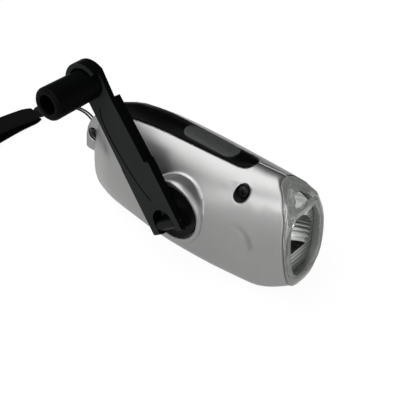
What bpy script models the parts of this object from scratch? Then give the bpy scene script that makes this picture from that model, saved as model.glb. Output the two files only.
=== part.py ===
"""Dynamo flashlight: a moulded two-part torch body with a folding crank on its left side.

Millimetre-sized object modelled in metres, +Z up, +X towards the lens, the crank on the -Y side.
The origin lies on the flat foot under the middle of the body.
"""

import math

import bmesh
import bpy
from mathutils import Matrix, Vector

# Body shape.
BODY_LENGTH = 0.122
BODY_HEIGHT = 0.0535
BODY_WIDTH = 0.0466
BODY_WALL = 0.0024
CROWN_EXPONENT = 1.8
BELLY_EXPONENT = 2.7
SECTION_POINTS = 28
INNER_SECTION_POINTS = 20
# Each station: place along the length, crest, keel and half width, as shares of the body's sizes.
STATION_SHARES = (
    (-0.508, 0.765, 0.018, 0.335),
    (-0.488, 0.802, 0.004, 0.421),
    (-0.467, 0.842, -0.006, 0.489),
    (-0.426, 0.896, 0.000, 0.618),
    (-0.352, 0.949, 0.017, 0.815),
    (-0.230, 0.974, 0.017, 0.944),
    (-0.098, 0.977, -0.010, 0.996),
    (0.016, 0.977, -0.015, 1.000),
    (0.139, 0.981, -0.026, 0.944),
    (0.246, 0.994, -0.034, 0.841),
    (0.311, 1.000, -0.026, 0.768),
    (0.369, 0.994, 0.034, 0.712),
    (0.418, 0.977, 0.112, 0.661),
    (0.467, 0.967, 0.200, 0.627),
)
# The shell's front edge seen from the side, as shares of the body's length and height.
FRONT_EDGE_SHARES = (
    (0.2885, 1.030),
    (0.3066, 0.980),
    (0.3254, 0.950),
    (0.3467, 0.912),
    (0.3770, 0.808),
    (0.3920, 0.717),
    (0.4066, 0.551),
    (0.4156, 0.401),
    (0.4230, 0.217),
    (0.4262, 0.049),
    (0.4270, 0.000),
)

# Fits.
FIT = 0.0003
OVERRUN = 0.02
WELD = 0.000002
SMOOTH_ANGLE = math.radians(32)

# Shell joint.
SEAM_Y = 0.001
REAR_WALL_X = -0.0585

# Tail lug, strap slot and rear screw.
LUG_HALF_WIDTH = 0.006
LUG_LENGTH = 0.0069
LUG_FLOOR_Z = 0.0190
NOTCH_X = -0.0618
LUG_SHARES = (
    (0.00, 0.000),
    (0.80, 0.000),
    (0.97, 0.020),
    (1.00, 0.080),
    (1.00, 0.300),
    (0.90, 0.520),
    (0.68, 0.720),
    (0.40, 0.870),
    (0.00, 1.000),
)
LUG_HEIGHT = 0.0222
SLOT_HALF_WIDTH = 0.0022
SLOT_HEIGHT = 0.0080
SLOT_X = -0.0606
SLOT_FLOOR_Z = 0.0247
REAR_SCREW_X = -0.0642
REAR_SCREW_Z = 0.0280
REAR_SCREW_RADIUS = 0.0012
REAR_SCREW_HEAD_RADIUS = 0.0027
REAR_RECESS_RADIUS = 0.0035
REAR_RECESS_FLOOR_Y = -0.0043
REAR_SCREW_END_Y = 0.0048
REAR_HEAD_THICKNESS = 0.0009

# Front housing screw with its recess and towers.
FRONT_SCREW_X = 0.0255
FRONT_SCREW_Z = 0.0454
FRONT_RECESS_RADIUS = 0.0033
FRONT_RECESS_WALL = 0.0013
FRONT_RECESS_FLOOR_Y = -0.0100
FRONT_FLOOR_THICKNESS = 0.0015
FRONT_TOWER_RADIUS = 0.0034
FRONT_SCREW_RADIUS = 0.0014
FRONT_SCREW_HEAD_RADIUS = 0.0027
FRONT_HEAD_THICKNESS = 0.0018
FRONT_SCREW_END_Y = 0.0090
DRIVE_RECESS_WIDTH = 0.0008

# Top grip and button.
GRIP_REAR_X = -0.0600
GRIP_FRONT_X = 0.0230
GRIP_REAR_HALF_WIDTH = 0.0078
GRIP_FRONT_HALF_WIDTH = 0.0052
GRIP_RAISE = 0.00022
GRIP_SEAT_DEPTH = 0.0012
BUTTON_X = -0.0010
BUTTON_LENGTH = 0.0285
BUTTON_WIDTH = 0.0088
BUTTON_RAISE = 0.0006
BUTTON_FLANGE_REACH = 0.0011
BUTTON_FLANGE_THICKNESS = 0.0015
BUTTON_TRAVEL = 0.0010

# Crank hub, its recess in the shell and the boss round it.
HUB_X = -0.0008
HUB_Z = 0.0275
BOSS_RADIUS = 0.0149
BOSS_TOP_Y = -0.0242
BOSS_FOOT_REACH = 0.0021
BOSS_ROUND = 0.0009
RECESS_RADIUS = 0.0128
RECESS_FLOOR_Y = -0.0212
RECESS_FLOOR_THICKNESS = 0.0022
HUB_RADIUS = 0.0121
HUB_FACE_Y = -0.0228
HUB_EDGE_ROUND = 0.0004
KNUCKLE_HALF_WIDTH = 0.0051
KNUCKLE_RADIUS = 0.0027
KNUCKLE_BACK = 0.0045
KNUCKLE_FRONT = 0.0034
PIN_OFFSET = -0.0030
PIN_Y = -0.0283
PIN_RADIUS = 0.00125
PIN_SOCKET_DEPTH = 0.0012

# Crank arm. Distances along the arm start at the hub axis, distances across start at its middle.
ARM_ANGLE = math.radians(128.3)
ARM_REACH = 0.0641
ARM_OUTER_Y = -0.0310
ARM_INNER_Y = -0.0257
ARM_LEG_RADIUS = 0.0040
ARM_HEAD_Y = -0.0285
ARM_HEAD_START = 0.0555
ARM_HEAD_RADIUS = 0.0084
HEAD_HALF_ANGLE = math.radians(68)
ARM_REAR_REACH = 0.0095
ARM_FOOT_REACH = 0.0088
ARM_WAIST_REACH = 0.0085
ARM_STEP_REACH = 0.0061
ARM_NECK_REACH = 0.0044
ARM_STEP_START = 0.0258
ARM_EDGE_ROUND = 0.0008
FORK_HALF_WIDTH = 0.0056
FORK_REACH = 0.0045
PAD_INNER_Y = -0.0250
PAD_INSET = 0.0007
FOOT_INSET = 0.0018
GROOVE_HALF_WIDTH = 0.00035
GROOVE_DEPTH = 0.0004
GROOVE_START = 0.0090
GROOVE_END = 0.0527
GROOVE_SHARES = (
    (0.00, -0.10),
    (0.05, -0.22),
    (0.20, -0.46),
    (0.42, -0.66),
    (0.66, -0.79),
    (0.88, -0.77),
    (1.00, -0.52),
)
HOOD_INNER_RADIUS = 0.0079
HOOD_WALL = 0.0021
HOOD_END_Y = -0.0355
HOOD_HALF_ANGLE = math.radians(74)

# Knob, its stud and screw.
KNOB_OFFSET = -0.0022
KNOB_BASE_RADIUS = 0.0069
KNOB_TIP_RADIUS = 0.0072
KNOB_LENGTH = 0.0245
KNOB_TIP_ROUND = 0.0016
KNOB_BASE_ROUND = 0.0004
KNOB_BORE_RADIUS = 0.0042
KNOB_BORE_DEPTH = 0.0120
STUD_RADIUS = 0.0023
STUD_HEAD_RADIUS = 0.0037
STUD_HEAD_THICKNESS = 0.0010
STUD_PROUD = 0.0002
KNOB_SCREW_RADIUS = 0.0010
KNOB_SCREW_LENGTH = 0.0080
KNOB_SCREW_HEAD_RADIUS = 0.0035
KNOB_SCREW_HEAD_THICKNESS = 0.0015

# Gear train between the two plates.
PRESSURE_ANGLE = math.radians(25)
TOOTH_SLACK_SHARE = 0.18
WHEEL_ADDENDUM_SHARE = 0.85
PINION_ADDENDUM_SHARE = 0.95
DEDENDUM_SHARE = 1.20
FIRST_MODULE = 0.0008
SECOND_MODULE = 0.0006
THIRD_MODULE = 0.0005
DRIVE_TEETH = 40
SECOND_TEETH = 36
THIRD_TEETH = 30
PINION_TEETH = 10
SECOND_DIRECTION = math.radians(205)
THIRD_DIRECTION = math.radians(165)
ROTOR_DIRECTION = math.radians(215)
OUTER_PLATE_Y = -0.0092
INNER_PLATE_Y = 0.0030
PLATE_THICKNESS = 0.0012
FIRST_MESH_Y = -0.0060
FIRST_MESH_WIDTH = 0.0040
SECOND_MESH_Y = -0.0010
SECOND_MESH_WIDTH = 0.0025
THIRD_MESH_Y = -0.0050
THIRD_MESH_WIDTH = 0.0020
PINION_OVERLAP = 0.0005
AXLE_RADIUS = 0.0010
GEAR_HUB_RADIUS = 0.0019
DRIVE_HUB_RADIUS = 0.0052
POST_RADIUS = 0.0021
PLATE_MARGIN = 0.0032
PLATE_SCREW_RADIUS = 0.0008
PLATE_SCREW_HEAD_RADIUS = 0.0019
PLATE_SCREW_HEAD_THICKNESS = 0.0009
PLATE_SCREW_LENGTH = 0.0050
# Posts as shares of the body's length and height.
POST_SHARES = ((0.098, 0.165), (-0.210, 0.637), (-0.362, 0.583), (-0.230, 0.156))

# Crank shaft, bush and clip.
SHAFT_RADIUS = 0.0030
BUSH_WALL = 0.0012
BUSH_FLANGE_REACH = 0.0012
BUSH_FLANGE_THICKNESS = 0.0012
BUSH_LENGTH = 0.0044
SOCKET_DEPTH = 0.0030
CLIP_REACH = 0.0018
CLIP_THICKNESS = 0.0008
CLIP_HALF_GAP = math.radians(24)

# Alternator.
CAN_RADIUS = 0.0098
CAN_WALL = 0.0006
CAN_DEPTH = 0.0067
COIL_WALL = 0.0022
COIL_END_GAP = 0.0007
MAGNET_RADIUS = 0.0062
ROTOR_END_PROUD = 0.0008

# Cells, boards and switch.
CELL_RADIUS = 0.00775
CELL_THICKNESS = 0.0062
CELL_EDGE_ROUND = 0.0006
CELL_X = 0.0247
CELL_Z = 0.0173
CRADLE_THICKNESS = 0.0016
CRADLE_REACH = 0.0014
CRADLE_TOP_Z = 0.0133
BOARD_THICKNESS = 0.0012
MAIN_BOARD_REAR_X = -0.0170
MAIN_BOARD_FRONT_X = 0.0170
MAIN_BOARD_NEAR_Y = -0.0012
MAIN_BOARD_FAR_Y = 0.0120
MAIN_BOARD_Z = 0.0389
SHELF_WIDTH = 0.0030
SHELF_THICKNESS = 0.0014
SHELF_OVERLAP = 0.0030
SWITCH_SIZE = 0.0060
SWITCH_HEIGHT = 0.0026
SWITCH_Y = 0.0020
STEM_RADIUS = 0.0016
STEM_CLEARANCE = 0.0001

# Lens and reflector.
LENS_WALL = 0.0018
LENS_FLANGE = 0.0014
LENS_SKIRT_WALL = 0.0014
LENS_SKIRT_LENGTH = 0.0040
LENS_FRONT_X = 0.0494
LENS_BEVEL_START_X = 0.0472
LENS_BEVEL_REACH = 0.0027
LENS_CREASE_Z = 0.0443
LENS_SLOPE_TOP_X = 0.0363
LENS_SLOPE_TOP_Z = 0.0540
LENS_LEAN_SHARE = 0.080
REFLECTOR_GAP = 0.0004
REFLECTOR_REAR_X = 0.0360
REFLECTOR_SETBACK = 0.0036
CUP_RADIUS = 0.0102
CUP_DEPTH = 0.0092
CUP_STEPS = 5
# Heights of the three cups as shares of the crease height.
CUP_HEIGHT_SHARES = (0.955, 0.603, 0.285)
LED_RADIUS = 0.0025
LED_FLANGE_RADIUS = 0.0029
LED_FLANGE_THICKNESS = 0.0009
LED_LENGTH = 0.0076
LED_BOARD_HALF_WIDTH = 0.0078
LED_BOARD_MARGIN = 0.0036

# Wrist strap.
CORD_RADIUS = 0.0005
CORD_SPACING = 0.0008
CORD_LOOP_RADIUS = 0.0021
STRAND_POINTS = 23
LOOP_STEPS = 8
SLEEVE_LENGTH = 0.0115
SLEEVE_HALF_WIDTH = 0.0030
SLEEVE_HALF_HEIGHT = 0.0024
SLEEVE_BORE = 0.0010
SLEEVE_CENTRE = (-0.1226, 0.0195, 0.0027)
SLEEVE_HEADING = math.radians(-104)
WEB_HALF_WIDTH = 0.0060
WEB_THICKNESS = 0.0011
WEB_GROUND_GAP = 0.0003
WEB_POINTS = 46
CORD_ROUTE = (
    (-0.0706, 0.0000, 0.0273),
    (-0.0730, 0.0040, 0.0245),
    (-0.0748, 0.0082, 0.0180),
    (-0.0778, 0.0140, 0.0085),
    (-0.0835, 0.0212, 0.0022),
    (-0.0920, 0.0282, 0.0008),
    (-0.1030, 0.0330, 0.0007),
    (-0.1092, 0.0346, 0.0007),
    (-0.1146, 0.0342, 0.0008),
    (-0.1185, 0.0318, 0.0012),
    (-0.1203, 0.0290, 0.0020),
)
# The webbing's loop seen from above, from the sleeve outwards, then its height over the ground.
WEB_PLAN = (
    (-0.1243, 0.0126),
    (-0.1250, 0.0060),
    (-0.1253, -0.0020),
    (-0.1250, -0.0120),
    (-0.1246, -0.0260),
    (-0.1252, -0.0420),
)
WEB_RISE_SHARES = (1.00, 1.15, 1.55, 2.05, 2.30, 2.00)
WEB_RISE = 0.0024

# Looks: base colour, roughness, metallic.
LOOKS = {
    "silver_paint": ((0.60, 0.60, 0.62), 0.34, 0.75),
    "black_gloss": ((0.010, 0.012, 0.011), 0.22, 0.0),
    "black_plastic": ((0.020, 0.023, 0.022), 0.38, 0.0),
    "grey_rubber": ((0.062, 0.070, 0.066), 0.62, 0.0),
    "clear_plastic": ((0.82, 0.84, 0.84), 0.05, 0.0),
    "chrome": ((0.86, 0.86, 0.86), 0.08, 1.0),
    "led_epoxy": ((0.80, 0.85, 0.88), 0.12, 0.0),
    "steel": ((0.42, 0.42, 0.43), 0.32, 1.0),
    "brass": ((0.71, 0.53, 0.24), 0.30, 1.0),
    "white_nylon": ((0.78, 0.78, 0.74), 0.45, 0.0),
    "green_board": ((0.020, 0.160, 0.070), 0.45, 0.0),
    "copper_wire": ((0.72, 0.34, 0.18), 0.35, 1.0),
    "dark_ferrite": ((0.060, 0.060, 0.065), 0.55, 0.0),
    "black_webbing": ((0.012, 0.012, 0.013), 0.85, 0.0),
}


def look(name):
    """Return the material called name, made on first use."""
    found = bpy.data.materials.get(name)
    if found is not None:
        return found
    colour, roughness, metallic = LOOKS[name]
    made = bpy.data.materials.new(name)
    made.use_nodes = True
    shader = made.node_tree.nodes["Principled BSDF"]
    shader.inputs["Base Color"].default_value = (*colour, 1)
    shader.inputs["Roughness"].default_value = roughness
    shader.inputs["Metallic"].default_value = metallic
    return made


def solid(name, vertices, faces, look_name="steel"):
    """Make a mesh object from points and faces, with outward normals and soft shading."""
    mesh = bpy.data.meshes.new(name)
    mesh.from_pydata(vertices, [], faces)
    thing = bpy.data.objects.new(name, mesh)
    bpy.context.scene.collection.objects.link(thing)
    thing.data.materials.append(look(look_name))
    tidy(thing)
    return thing


def tidy(thing):
    """Weld coincident points, turn all faces outwards and shade by angle."""
    work = bmesh.new()
    work.from_mesh(thing.data)
    bmesh.ops.remove_doubles(work, verts=work.verts, dist=WELD)
    bmesh.ops.dissolve_degenerate(work, edges=work.edges, dist=WELD)
    bmesh.ops.recalc_face_normals(work, faces=work.faces)
    work.to_mesh(thing.data)
    work.free()
    thing.data.shade_smooth()
    thing.data.set_sharp_from_angle(angle=SMOOTH_ANGLE)


def combine(target, other, operation):
    """Apply one exact Boolean to target and drop the other solid."""
    modifier = target.modifiers.new(operation.title(), "BOOLEAN")
    modifier.operation = operation
    modifier.solver = "EXACT"
    modifier.object = other
    graph = bpy.context.evaluated_depsgraph_get()
    result = bpy.data.meshes.new_from_object(target.evaluated_get(graph))
    target.modifiers.clear()
    target.data = result
    bpy.data.objects.remove(other)
    while len(target.data.materials) > 1:
        target.data.materials.pop()
    tidy(target)
    return target


def cut(target, *others):
    """Take each other solid away from target."""
    for other in others:
        combine(target, other, "DIFFERENCE")
    return target


def join(target, *others):
    """Fuse each other solid to target."""
    for other in others:
        combine(target, other, "UNION")
    return target


def keep(target, *others):
    """Keep only what target shares with each other solid."""
    for other in others:
        combine(target, other, "INTERSECT")
    return target


def skin(name, rings, look_name="steel"):
    """Close a row of equal rings of points with quads and two end caps."""
    count = len(rings[0])
    vertices = [point for ring in rings for point in ring]
    faces = []
    for row in range(len(rings) - 1):
        for step in range(count):
            after = (step + 1) % count
            here = row * count
            there = here + count
            faces.append((here + step, here + after, there + after, there + step))
    faces.append(tuple(reversed(range(count))))
    last = (len(rings) - 1) * count
    faces.append(tuple(range(last, last + count)))
    return solid(name, vertices, faces, look_name)


def box(name, lower, upper, look_name="steel"):
    """Make a block between two corners."""
    (x0, y0, z0), (x1, y1, z1) = lower, upper
    rings = [[(x, y0, z0), (x, y1, z0), (x, y1, z1), (x, y0, z1)] for x in (x0, x1)]
    return skin(name, rings, look_name)


def plate_y(name, outline, y_near, y_far, look_name="steel"):
    """Extrude an outline of (x, z) points along Y."""
    rings = [[(x, y, z) for x, z in outline] for y in (y_near, y_far)]
    return skin(name, rings, look_name)


def plate_z(name, outline, z_low, z_high, look_name="steel"):
    """Extrude an outline of (x, y) points along Z."""
    rings = [[(x, y, z) for x, y in outline] for z in (z_low, z_high)]
    return skin(name, rings, look_name)


def turned(name, profile, centre, axis="Y", segments=40, look_name="steel"):
    """Revolve a closed profile of (radius, place along the axis) points round an axis."""
    ring_points = []
    for step in range(segments):
        angle = math.tau * step / segments
        for radius, along in profile:
            across = radius * math.cos(angle)
            upward = radius * math.sin(angle)
            if axis == "Y":
                point = (centre[0] + across, along, centre[1] + upward)
            elif axis == "X":
                point = (along, centre[0] + across, centre[1] + upward)
            else:
                point = (centre[0] + across, centre[1] + upward, along)
            ring_points.append(point)
    count = len(profile)
    faces = []
    for step in range(segments):
        after = (step + 1) % segments
        for row in range(count):
            below = (row + 1) % count
            if profile[row][0] == 0 and profile[below][0] == 0:
                continue
            corners = [step * count + row, step * count + below]
            corners += [after * count + below, after * count + row]
            faces.append(corners)
    return solid(name, ring_points, faces, look_name)


def rod(name, radius, start, end, centre, axis="Y", segments=20, look_name="steel"):
    """Make a plain cylinder along an axis."""
    profile = [(0, start), (radius, start), (radius, end), (0, end)]
    return turned(name, profile, centre, axis, segments, look_name)


def tube(name, inner, outer, start, end, centre, axis="Y", segments=20, look_name="steel"):
    """Make a plain ring along an axis."""
    profile = [(inner, start), (outer, start), (outer, end), (inner, end)]
    return turned(name, profile, centre, axis, segments, look_name)


def smooth_value(before, start, end, after, share):
    """Blend four neighbouring values with a cubic through the middle two."""
    slope_start = (end - before) / 2
    slope_end = (after - start) / 2
    square = share * share
    cube = square * share
    value = start * (2 * cube - 3 * square + 1)
    value += slope_start * (cube - 2 * square + share)
    value += end * (3 * square - 2 * cube)
    value += slope_end * (cube - square)
    return value


def smooth_row(points, steps):
    """Fill in a row of points with a cubic through all of them."""
    filled = []
    last = len(points) - 1
    for index in range(last):
        before = points[max(index - 1, 0)]
        start = points[index]
        end = points[index + 1]
        after = points[min(index + 2, last)]
        for step in range(steps):
            share = step / steps
            quads = zip(before, start, end, after)
            filled.append(tuple(smooth_value(*quad, share) for quad in quads))
    filled.append(tuple(points[last]))
    return filled


def body_stations(steps=2):
    """List the body's sections as (x, crest, keel, half width) in metres."""
    rows = smooth_row(STATION_SHARES, steps)
    half_width = BODY_WIDTH / 2
    return [
        (x * BODY_LENGTH, top * BODY_HEIGHT, low * BODY_HEIGHT, wide * half_width)
        for x, top, low, wide in rows
    ]


def station_at(x):
    """Read the body's crest, keel and half width at one place along its length."""
    stations = body_stations()
    for start, end in zip(stations, stations[1:]):
        if x <= end[0]:
            break
    share = (x - start[0]) / (end[0] - start[0])
    return tuple(low + share * (high - low) for low, high in zip(start[1:], end[1:]))


def section_ring(x, top, low, half_width, inset, points=SECTION_POINTS):
    """Make one rounded section of the body, flattened where it meets the foot."""
    centre = (top + low) / 2
    height = (top - low) / 2 - inset
    width = half_width - inset
    floor = max(inset, 0)
    ring = []
    for step in range(points):
        angle = math.tau * (step + 0.5) / points
        across = math.cos(angle)
        upward = math.sin(angle)
        power = 2 / (CROWN_EXPONENT if upward > 0 else BELLY_EXPONENT)
        y = width * math.copysign(abs(across) ** power, across)
        z = centre + height * math.copysign(abs(upward) ** power, upward)
        ring.append((x, y, max(z, floor)))
    return ring


def body_loft(name, inset, rear_x=None, look_name="silver_paint"):
    """Loft the body's outer form, or an inner form that starts at rear_x, drawn in by inset."""
    stations = body_stations()
    points = SECTION_POINTS
    if rear_x is not None:
        start = (rear_x, *station_at(rear_x))
        stations = [start] + [row for row in body_stations(1) if row[0] > rear_x + BODY_WALL / 2]
        points = INNER_SECTION_POINTS
    rings = [section_ring(*row, inset, points) for row in stations]
    return skin(name, rings, look_name)


def front_edge(shift):
    """Place the shell's front edge curve, moved along X by shift."""
    rows = smooth_row(FRONT_EDGE_SHARES, 2)
    return [(x * BODY_LENGTH + shift, z * BODY_HEIGHT) for x, z in rows]


def ahead_of_edge(name, shift, front=None):
    """Make the space ahead of the front edge curve, up to a given outline or far ahead."""
    outline = front_edge(shift)
    top = BODY_HEIGHT + OVERRUN
    below = -OVERRUN
    curve = [(outline[0][0], top)] + outline[1:-1] + [(outline[-1][0], below)]
    if front is None:
        reach = BODY_LENGTH
        front = [(reach, below), (reach, top)]
    return plate_y(name, curve + front, -BODY_WIDTH, BODY_WIDTH)


def capsule(length, width, centre_x, steps=8):
    """Outline a slot shape with round ends, long way along X."""
    radius = width / 2
    run = length / 2 - radius
    outline = []
    for side, turn in ((1, -0.5), (-1, 0.5)):
        for step in range(steps + 1):
            angle = math.pi * (turn + step / steps)
            x = centre_x + side * run + radius * math.cos(angle)
            outline.append((x, radius * math.sin(angle)))
    return outline


def grip_outline(clearance):
    """Outline the top grip from above, drawn in by a clearance."""
    rear = GRIP_REAR_X + clearance
    front = GRIP_FRONT_X - clearance
    rear_half = GRIP_REAR_HALF_WIDTH - clearance
    front_half = GRIP_FRONT_HALF_WIDTH - clearance
    outline = []
    steps = 8
    for step in range(steps + 1):
        angle = math.pi * (step / steps - 0.5)
        x = front - front_half + front_half * math.cos(angle)
        outline.append((x, front_half * math.sin(angle)))
    for step in range(steps + 1):
        angle = math.pi * (step / steps + 0.5)
        x = rear + rear_half / 2 + rear_half / 2 * math.cos(angle)
        outline.append((x, rear_half * math.sin(angle)))
    return outline


def grip_band(name, raise_by, depth, clearance, look_name="black_gloss"):
    """Cut the top grip's band out of the body's form."""
    top = BODY_HEIGHT + OVERRUN
    band = body_loft(name, -raise_by, None, look_name)
    keep(band, plate_z("band_plan", grip_outline(clearance), BODY_HEIGHT / 2, top))
    return cut(band, body_loft("band_core", depth))


def lug_outline():
    """Outline the tail lug from the side."""
    start = NOTCH_X + BODY_WALL / 2
    outline = []
    for reach, rise in LUG_SHARES:
        x = start - reach * (LUG_LENGTH + BODY_WALL / 2)
        outline.append((x, LUG_FLOOR_Z + rise * LUG_HEIGHT))
    return outline


def arm_point(along, across):
    """Turn a place on the arm into (x, z)."""
    ahead = (math.cos(ARM_ANGLE), math.sin(ARM_ANGLE))
    aside = (math.sin(ARM_ANGLE), -math.cos(ARM_ANGLE))
    x = HUB_X + along * ahead[0] + across * aside[0]
    z = HUB_Z + along * ahead[1] + across * aside[1]
    return (x, z)


def arm_axis_rod(name, radius, half_length, look_name="steel"):
    """Make a cylinder along the arm's hinge axis."""
    rings = []
    for across in (-half_length, half_length):
        ring = []
        for step in range(24):
            angle = math.tau * step / 24
            x, z = arm_point(PIN_OFFSET + radius * math.cos(angle), across)
            ring.append((x, PIN_Y + radius * math.sin(angle), z))
        rings.append(ring)
    return skin(name, rings, look_name)


def across_arm(name, outline, near, far, look_name="black_plastic"):
    """Extrude an outline of (along the arm, y) points across the arm."""
    rings = []
    for across in (near, far):
        ring = []
        for along, y in outline:
            x, z = arm_point(along, across)
            ring.append((x, y, z))
        rings.append(ring)
    return skin(name, rings, look_name)


def gear_outline(teeth, module, addendum_share, phase, centre):
    """Outline an involute gear with one tooth centred on the phase angle."""
    pitch_radius = teeth * module / 2
    base_radius = pitch_radius * math.cos(PRESSURE_ANGLE)
    root = pitch_radius - DEDENDUM_SHARE * module
    tip = pitch_radius + addendum_share * module
    pitch_half = (math.pi / 2 - TOOTH_SLACK_SHARE) / teeth
    pitch_involute = math.tan(PRESSURE_ANGLE) - PRESSURE_ANGLE

    def half_angle(radius):
        roll = math.acos(min(1, base_radius / max(radius, base_radius)))
        return pitch_half + pitch_involute - (math.tan(roll) - roll)

    heights = (root, tip) if teeth > 2 * PINION_TEETH else (root, pitch_radius, tip)
    flank = [(radius, half_angle(radius)) for radius in heights]
    outline = []
    for tooth in range(teeth):
        middle = phase + math.tau * tooth / teeth
        sides = [(radius, middle - half) for radius, half in flank]
        sides += [(radius, middle + half) for radius, half in reversed(flank)]
        for radius, angle in sides:
            x = centre[0] + radius * math.cos(angle)
            outline.append((x, centre[1] + radius * math.sin(angle)))
    return outline


def mating_phase(phase, teeth, other_teeth, direction):
    """Turn a gear so that its gap meets the tooth of the gear that drives it."""
    return direction + math.pi - (phase - direction) * teeth / other_teeth + math.pi / other_teeth


def centre_from(start, module, teeth, direction):
    """Place the next gear centre beside a wheel that drives a small pinion."""
    distance = module * (teeth + PINION_TEETH) / 2
    return (start[0] + distance * math.cos(direction), start[1] + distance * math.sin(direction))


HUB_CENTRE = (HUB_X, HUB_Z)
DRIVE_TIP_RADIUS = (DRIVE_TEETH / 2 + WHEEL_ADDENDUM_SHARE) * FIRST_MODULE
BUTTON_BASE_Z = HUB_Z + DRIVE_TIP_RADIUS + BUTTON_TRAVEL + 2 * FIT
SECOND_CENTRE = centre_from(HUB_CENTRE, FIRST_MODULE, DRIVE_TEETH, SECOND_DIRECTION)
THIRD_CENTRE = centre_from(SECOND_CENTRE, SECOND_MODULE, SECOND_TEETH, THIRD_DIRECTION)
ROTOR_CENTRE = centre_from(THIRD_CENTRE, THIRD_MODULE, THIRD_TEETH, ROTOR_DIRECTION)
KNOB_CENTRE = arm_point(ARM_REACH, KNOB_OFFSET)
GEAR_SPACE_START = OUTER_PLATE_Y + PLATE_THICKNESS
POSTS = [(x * BODY_LENGTH, z * BODY_HEIGHT) for x, z in POST_SHARES]


def ring_sector(inner, outer, centre, middle, half_angle, steps=18):
    """Outline part of a ring round a centre."""
    outline = []
    for radius, turn in ((outer, 1), (inner, -1)):
        for step in range(steps + 1):
            angle = middle + turn * half_angle * (2 * step / steps - 1)
            x = centre[0] + radius * math.cos(angle)
            outline.append((x, centre[1] + radius * math.sin(angle)))
    return outline


def full_shell():
    """Make the whole hollow housing before it is split."""
    shell = body_loft("shell", 0)
    join(shell, plate_y("lug", lug_outline(), -LUG_HALF_WIDTH, LUG_HALF_WIDTH))
    cut(shell, body_loft("hollow", BODY_WALL, REAR_WALL_X))
    notch_low = (-BODY_LENGTH, -BODY_WIDTH, -OVERRUN)
    notch_high = (NOTCH_X, BODY_WIDTH, LUG_FLOOR_Z)
    cut(shell, box("notch", notch_low, notch_high))
    slot_low = (-BODY_LENGTH, -SLOT_HALF_WIDTH, SLOT_FLOOR_Z)
    slot_high = (SLOT_X, SLOT_HALF_WIDTH, SLOT_FLOOR_Z + SLOT_HEIGHT)
    cut(shell, box("slot", slot_low, slot_high))
    cut(shell, ahead_of_edge("nose", 0))
    cut(shell, grip_band("grip_seat", BODY_WALL, GRIP_SEAT_DEPTH, 0))
    opening = capsule(BUTTON_LENGTH + 2 * FIT, BUTTON_WIDTH + 2 * FIT, BUTTON_X)
    top = BODY_HEIGHT + OVERRUN
    cut(shell, plate_z("button_hole", opening, BUTTON_BASE_Z, top))
    return shell


def half_space(name, near, far):
    """Make a block that holds everything between two values of y."""
    reach = BODY_LENGTH
    return box(name, (-reach, near, -reach), (reach, far, reach))


def inside_wall(feature):
    """Trim an inner feature so that it ends within the housing's wall."""
    return keep(feature, body_loft("trim", BODY_WALL / 2, REAR_WALL_X - BODY_WALL / 2))


def crank_side_shell(shell):
    """Split off the crank side and add the boss, recess, tower and cradle."""
    name = "crank_side_shell"
    half = shell.copy()
    half.data = shell.data.copy()
    bpy.context.scene.collection.objects.link(half)
    half.name = name
    edge = SEAM_Y - FIT / 2
    keep(half, half_space("near_half", -BODY_WIDTH, edge))
    back = RECESS_FLOOR_Y + RECESS_FLOOR_THICKNESS
    foot = BOSS_RADIUS + BOSS_FOOT_REACH
    profile = [
        (0, back),
        (foot, back),
        (BOSS_RADIUS + BOSS_FOOT_REACH / 3, (back + BOSS_TOP_Y) / 2),
        (BOSS_RADIUS, BOSS_TOP_Y + 2 * BOSS_ROUND),
        (BOSS_RADIUS - BOSS_ROUND / 3, BOSS_TOP_Y + BOSS_ROUND / 2),
        (BOSS_RADIUS - BOSS_ROUND, BOSS_TOP_Y),
        (RECESS_RADIUS + BOSS_ROUND / 3, BOSS_TOP_Y),
        (RECESS_RADIUS, BOSS_TOP_Y + BOSS_ROUND / 3),
        (RECESS_RADIUS, BOSS_TOP_Y + BOSS_ROUND),
        (0, BOSS_TOP_Y + BOSS_ROUND),
    ]
    join(half, turned("boss", profile, HUB_CENTRE, segments=36))
    cut(half, rod("recess", RECESS_RADIUS, -BODY_WIDTH, RECESS_FLOOR_Y, HUB_CENTRE, segments=36))
    bush_hole = SHAFT_RADIUS + FIT + BUSH_WALL + FIT
    cut(half, rod("bush_hole", bush_hole, RECESS_FLOOR_Y - FIT, 0, HUB_CENTRE))
    screw = (FRONT_SCREW_X, FRONT_SCREW_Z)
    cup_radius = FRONT_RECESS_RADIUS + FRONT_RECESS_WALL
    cup_end = FRONT_RECESS_FLOOR_Y + FRONT_FLOOR_THICKNESS
    cup = rod("cup", cup_radius, -BODY_WIDTH, cup_end, screw)
    tower = rod("tower", FRONT_TOWER_RADIUS, FRONT_RECESS_FLOOR_Y, edge, screw)
    join(half, inside_wall(join(cup, tower)))
    recess = rod("screw_recess", FRONT_RECESS_RADIUS, -BODY_WIDTH, FRONT_RECESS_FLOOR_Y, screw)
    hole = rod("screw_hole", FRONT_SCREW_RADIUS + FIT, FRONT_RECESS_FLOOR_Y - FIT, OVERRUN, screw)
    cut(half, recess, hole)
    rear = (REAR_SCREW_X, REAR_SCREW_Z)
    cut(half, rod("rear_recess", REAR_RECESS_RADIUS, -BODY_WIDTH, REAR_RECESS_FLOOR_Y, rear))
    hole = rod("rear_hole", REAR_SCREW_RADIUS + FIT, REAR_RECESS_FLOOR_Y - FIT, SEAM_Y, rear)
    cut(half, hole)
    return add_cradle(half, -1)


def add_cradle(half, side):
    """Add the rib that holds the cells on one side of the housing."""
    reach = CELL_RADIUS + CRADLE_REACH
    middle = side * CELL_THICKNESS
    near = middle - CRADLE_THICKNESS / 2
    far = middle + CRADLE_THICKNESS / 2
    lower = (CELL_X - reach, near, 0)
    upper = (CELL_X + reach, far, CRADLE_TOP_Z)
    rib = inside_wall(box("cradle", lower, upper))
    cell_space = rod("cell_space", CELL_RADIUS + FIT, near - FIT, far + FIT, (CELL_X, CELL_Z))
    return join(half, cut(rib, cell_space))


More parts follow.
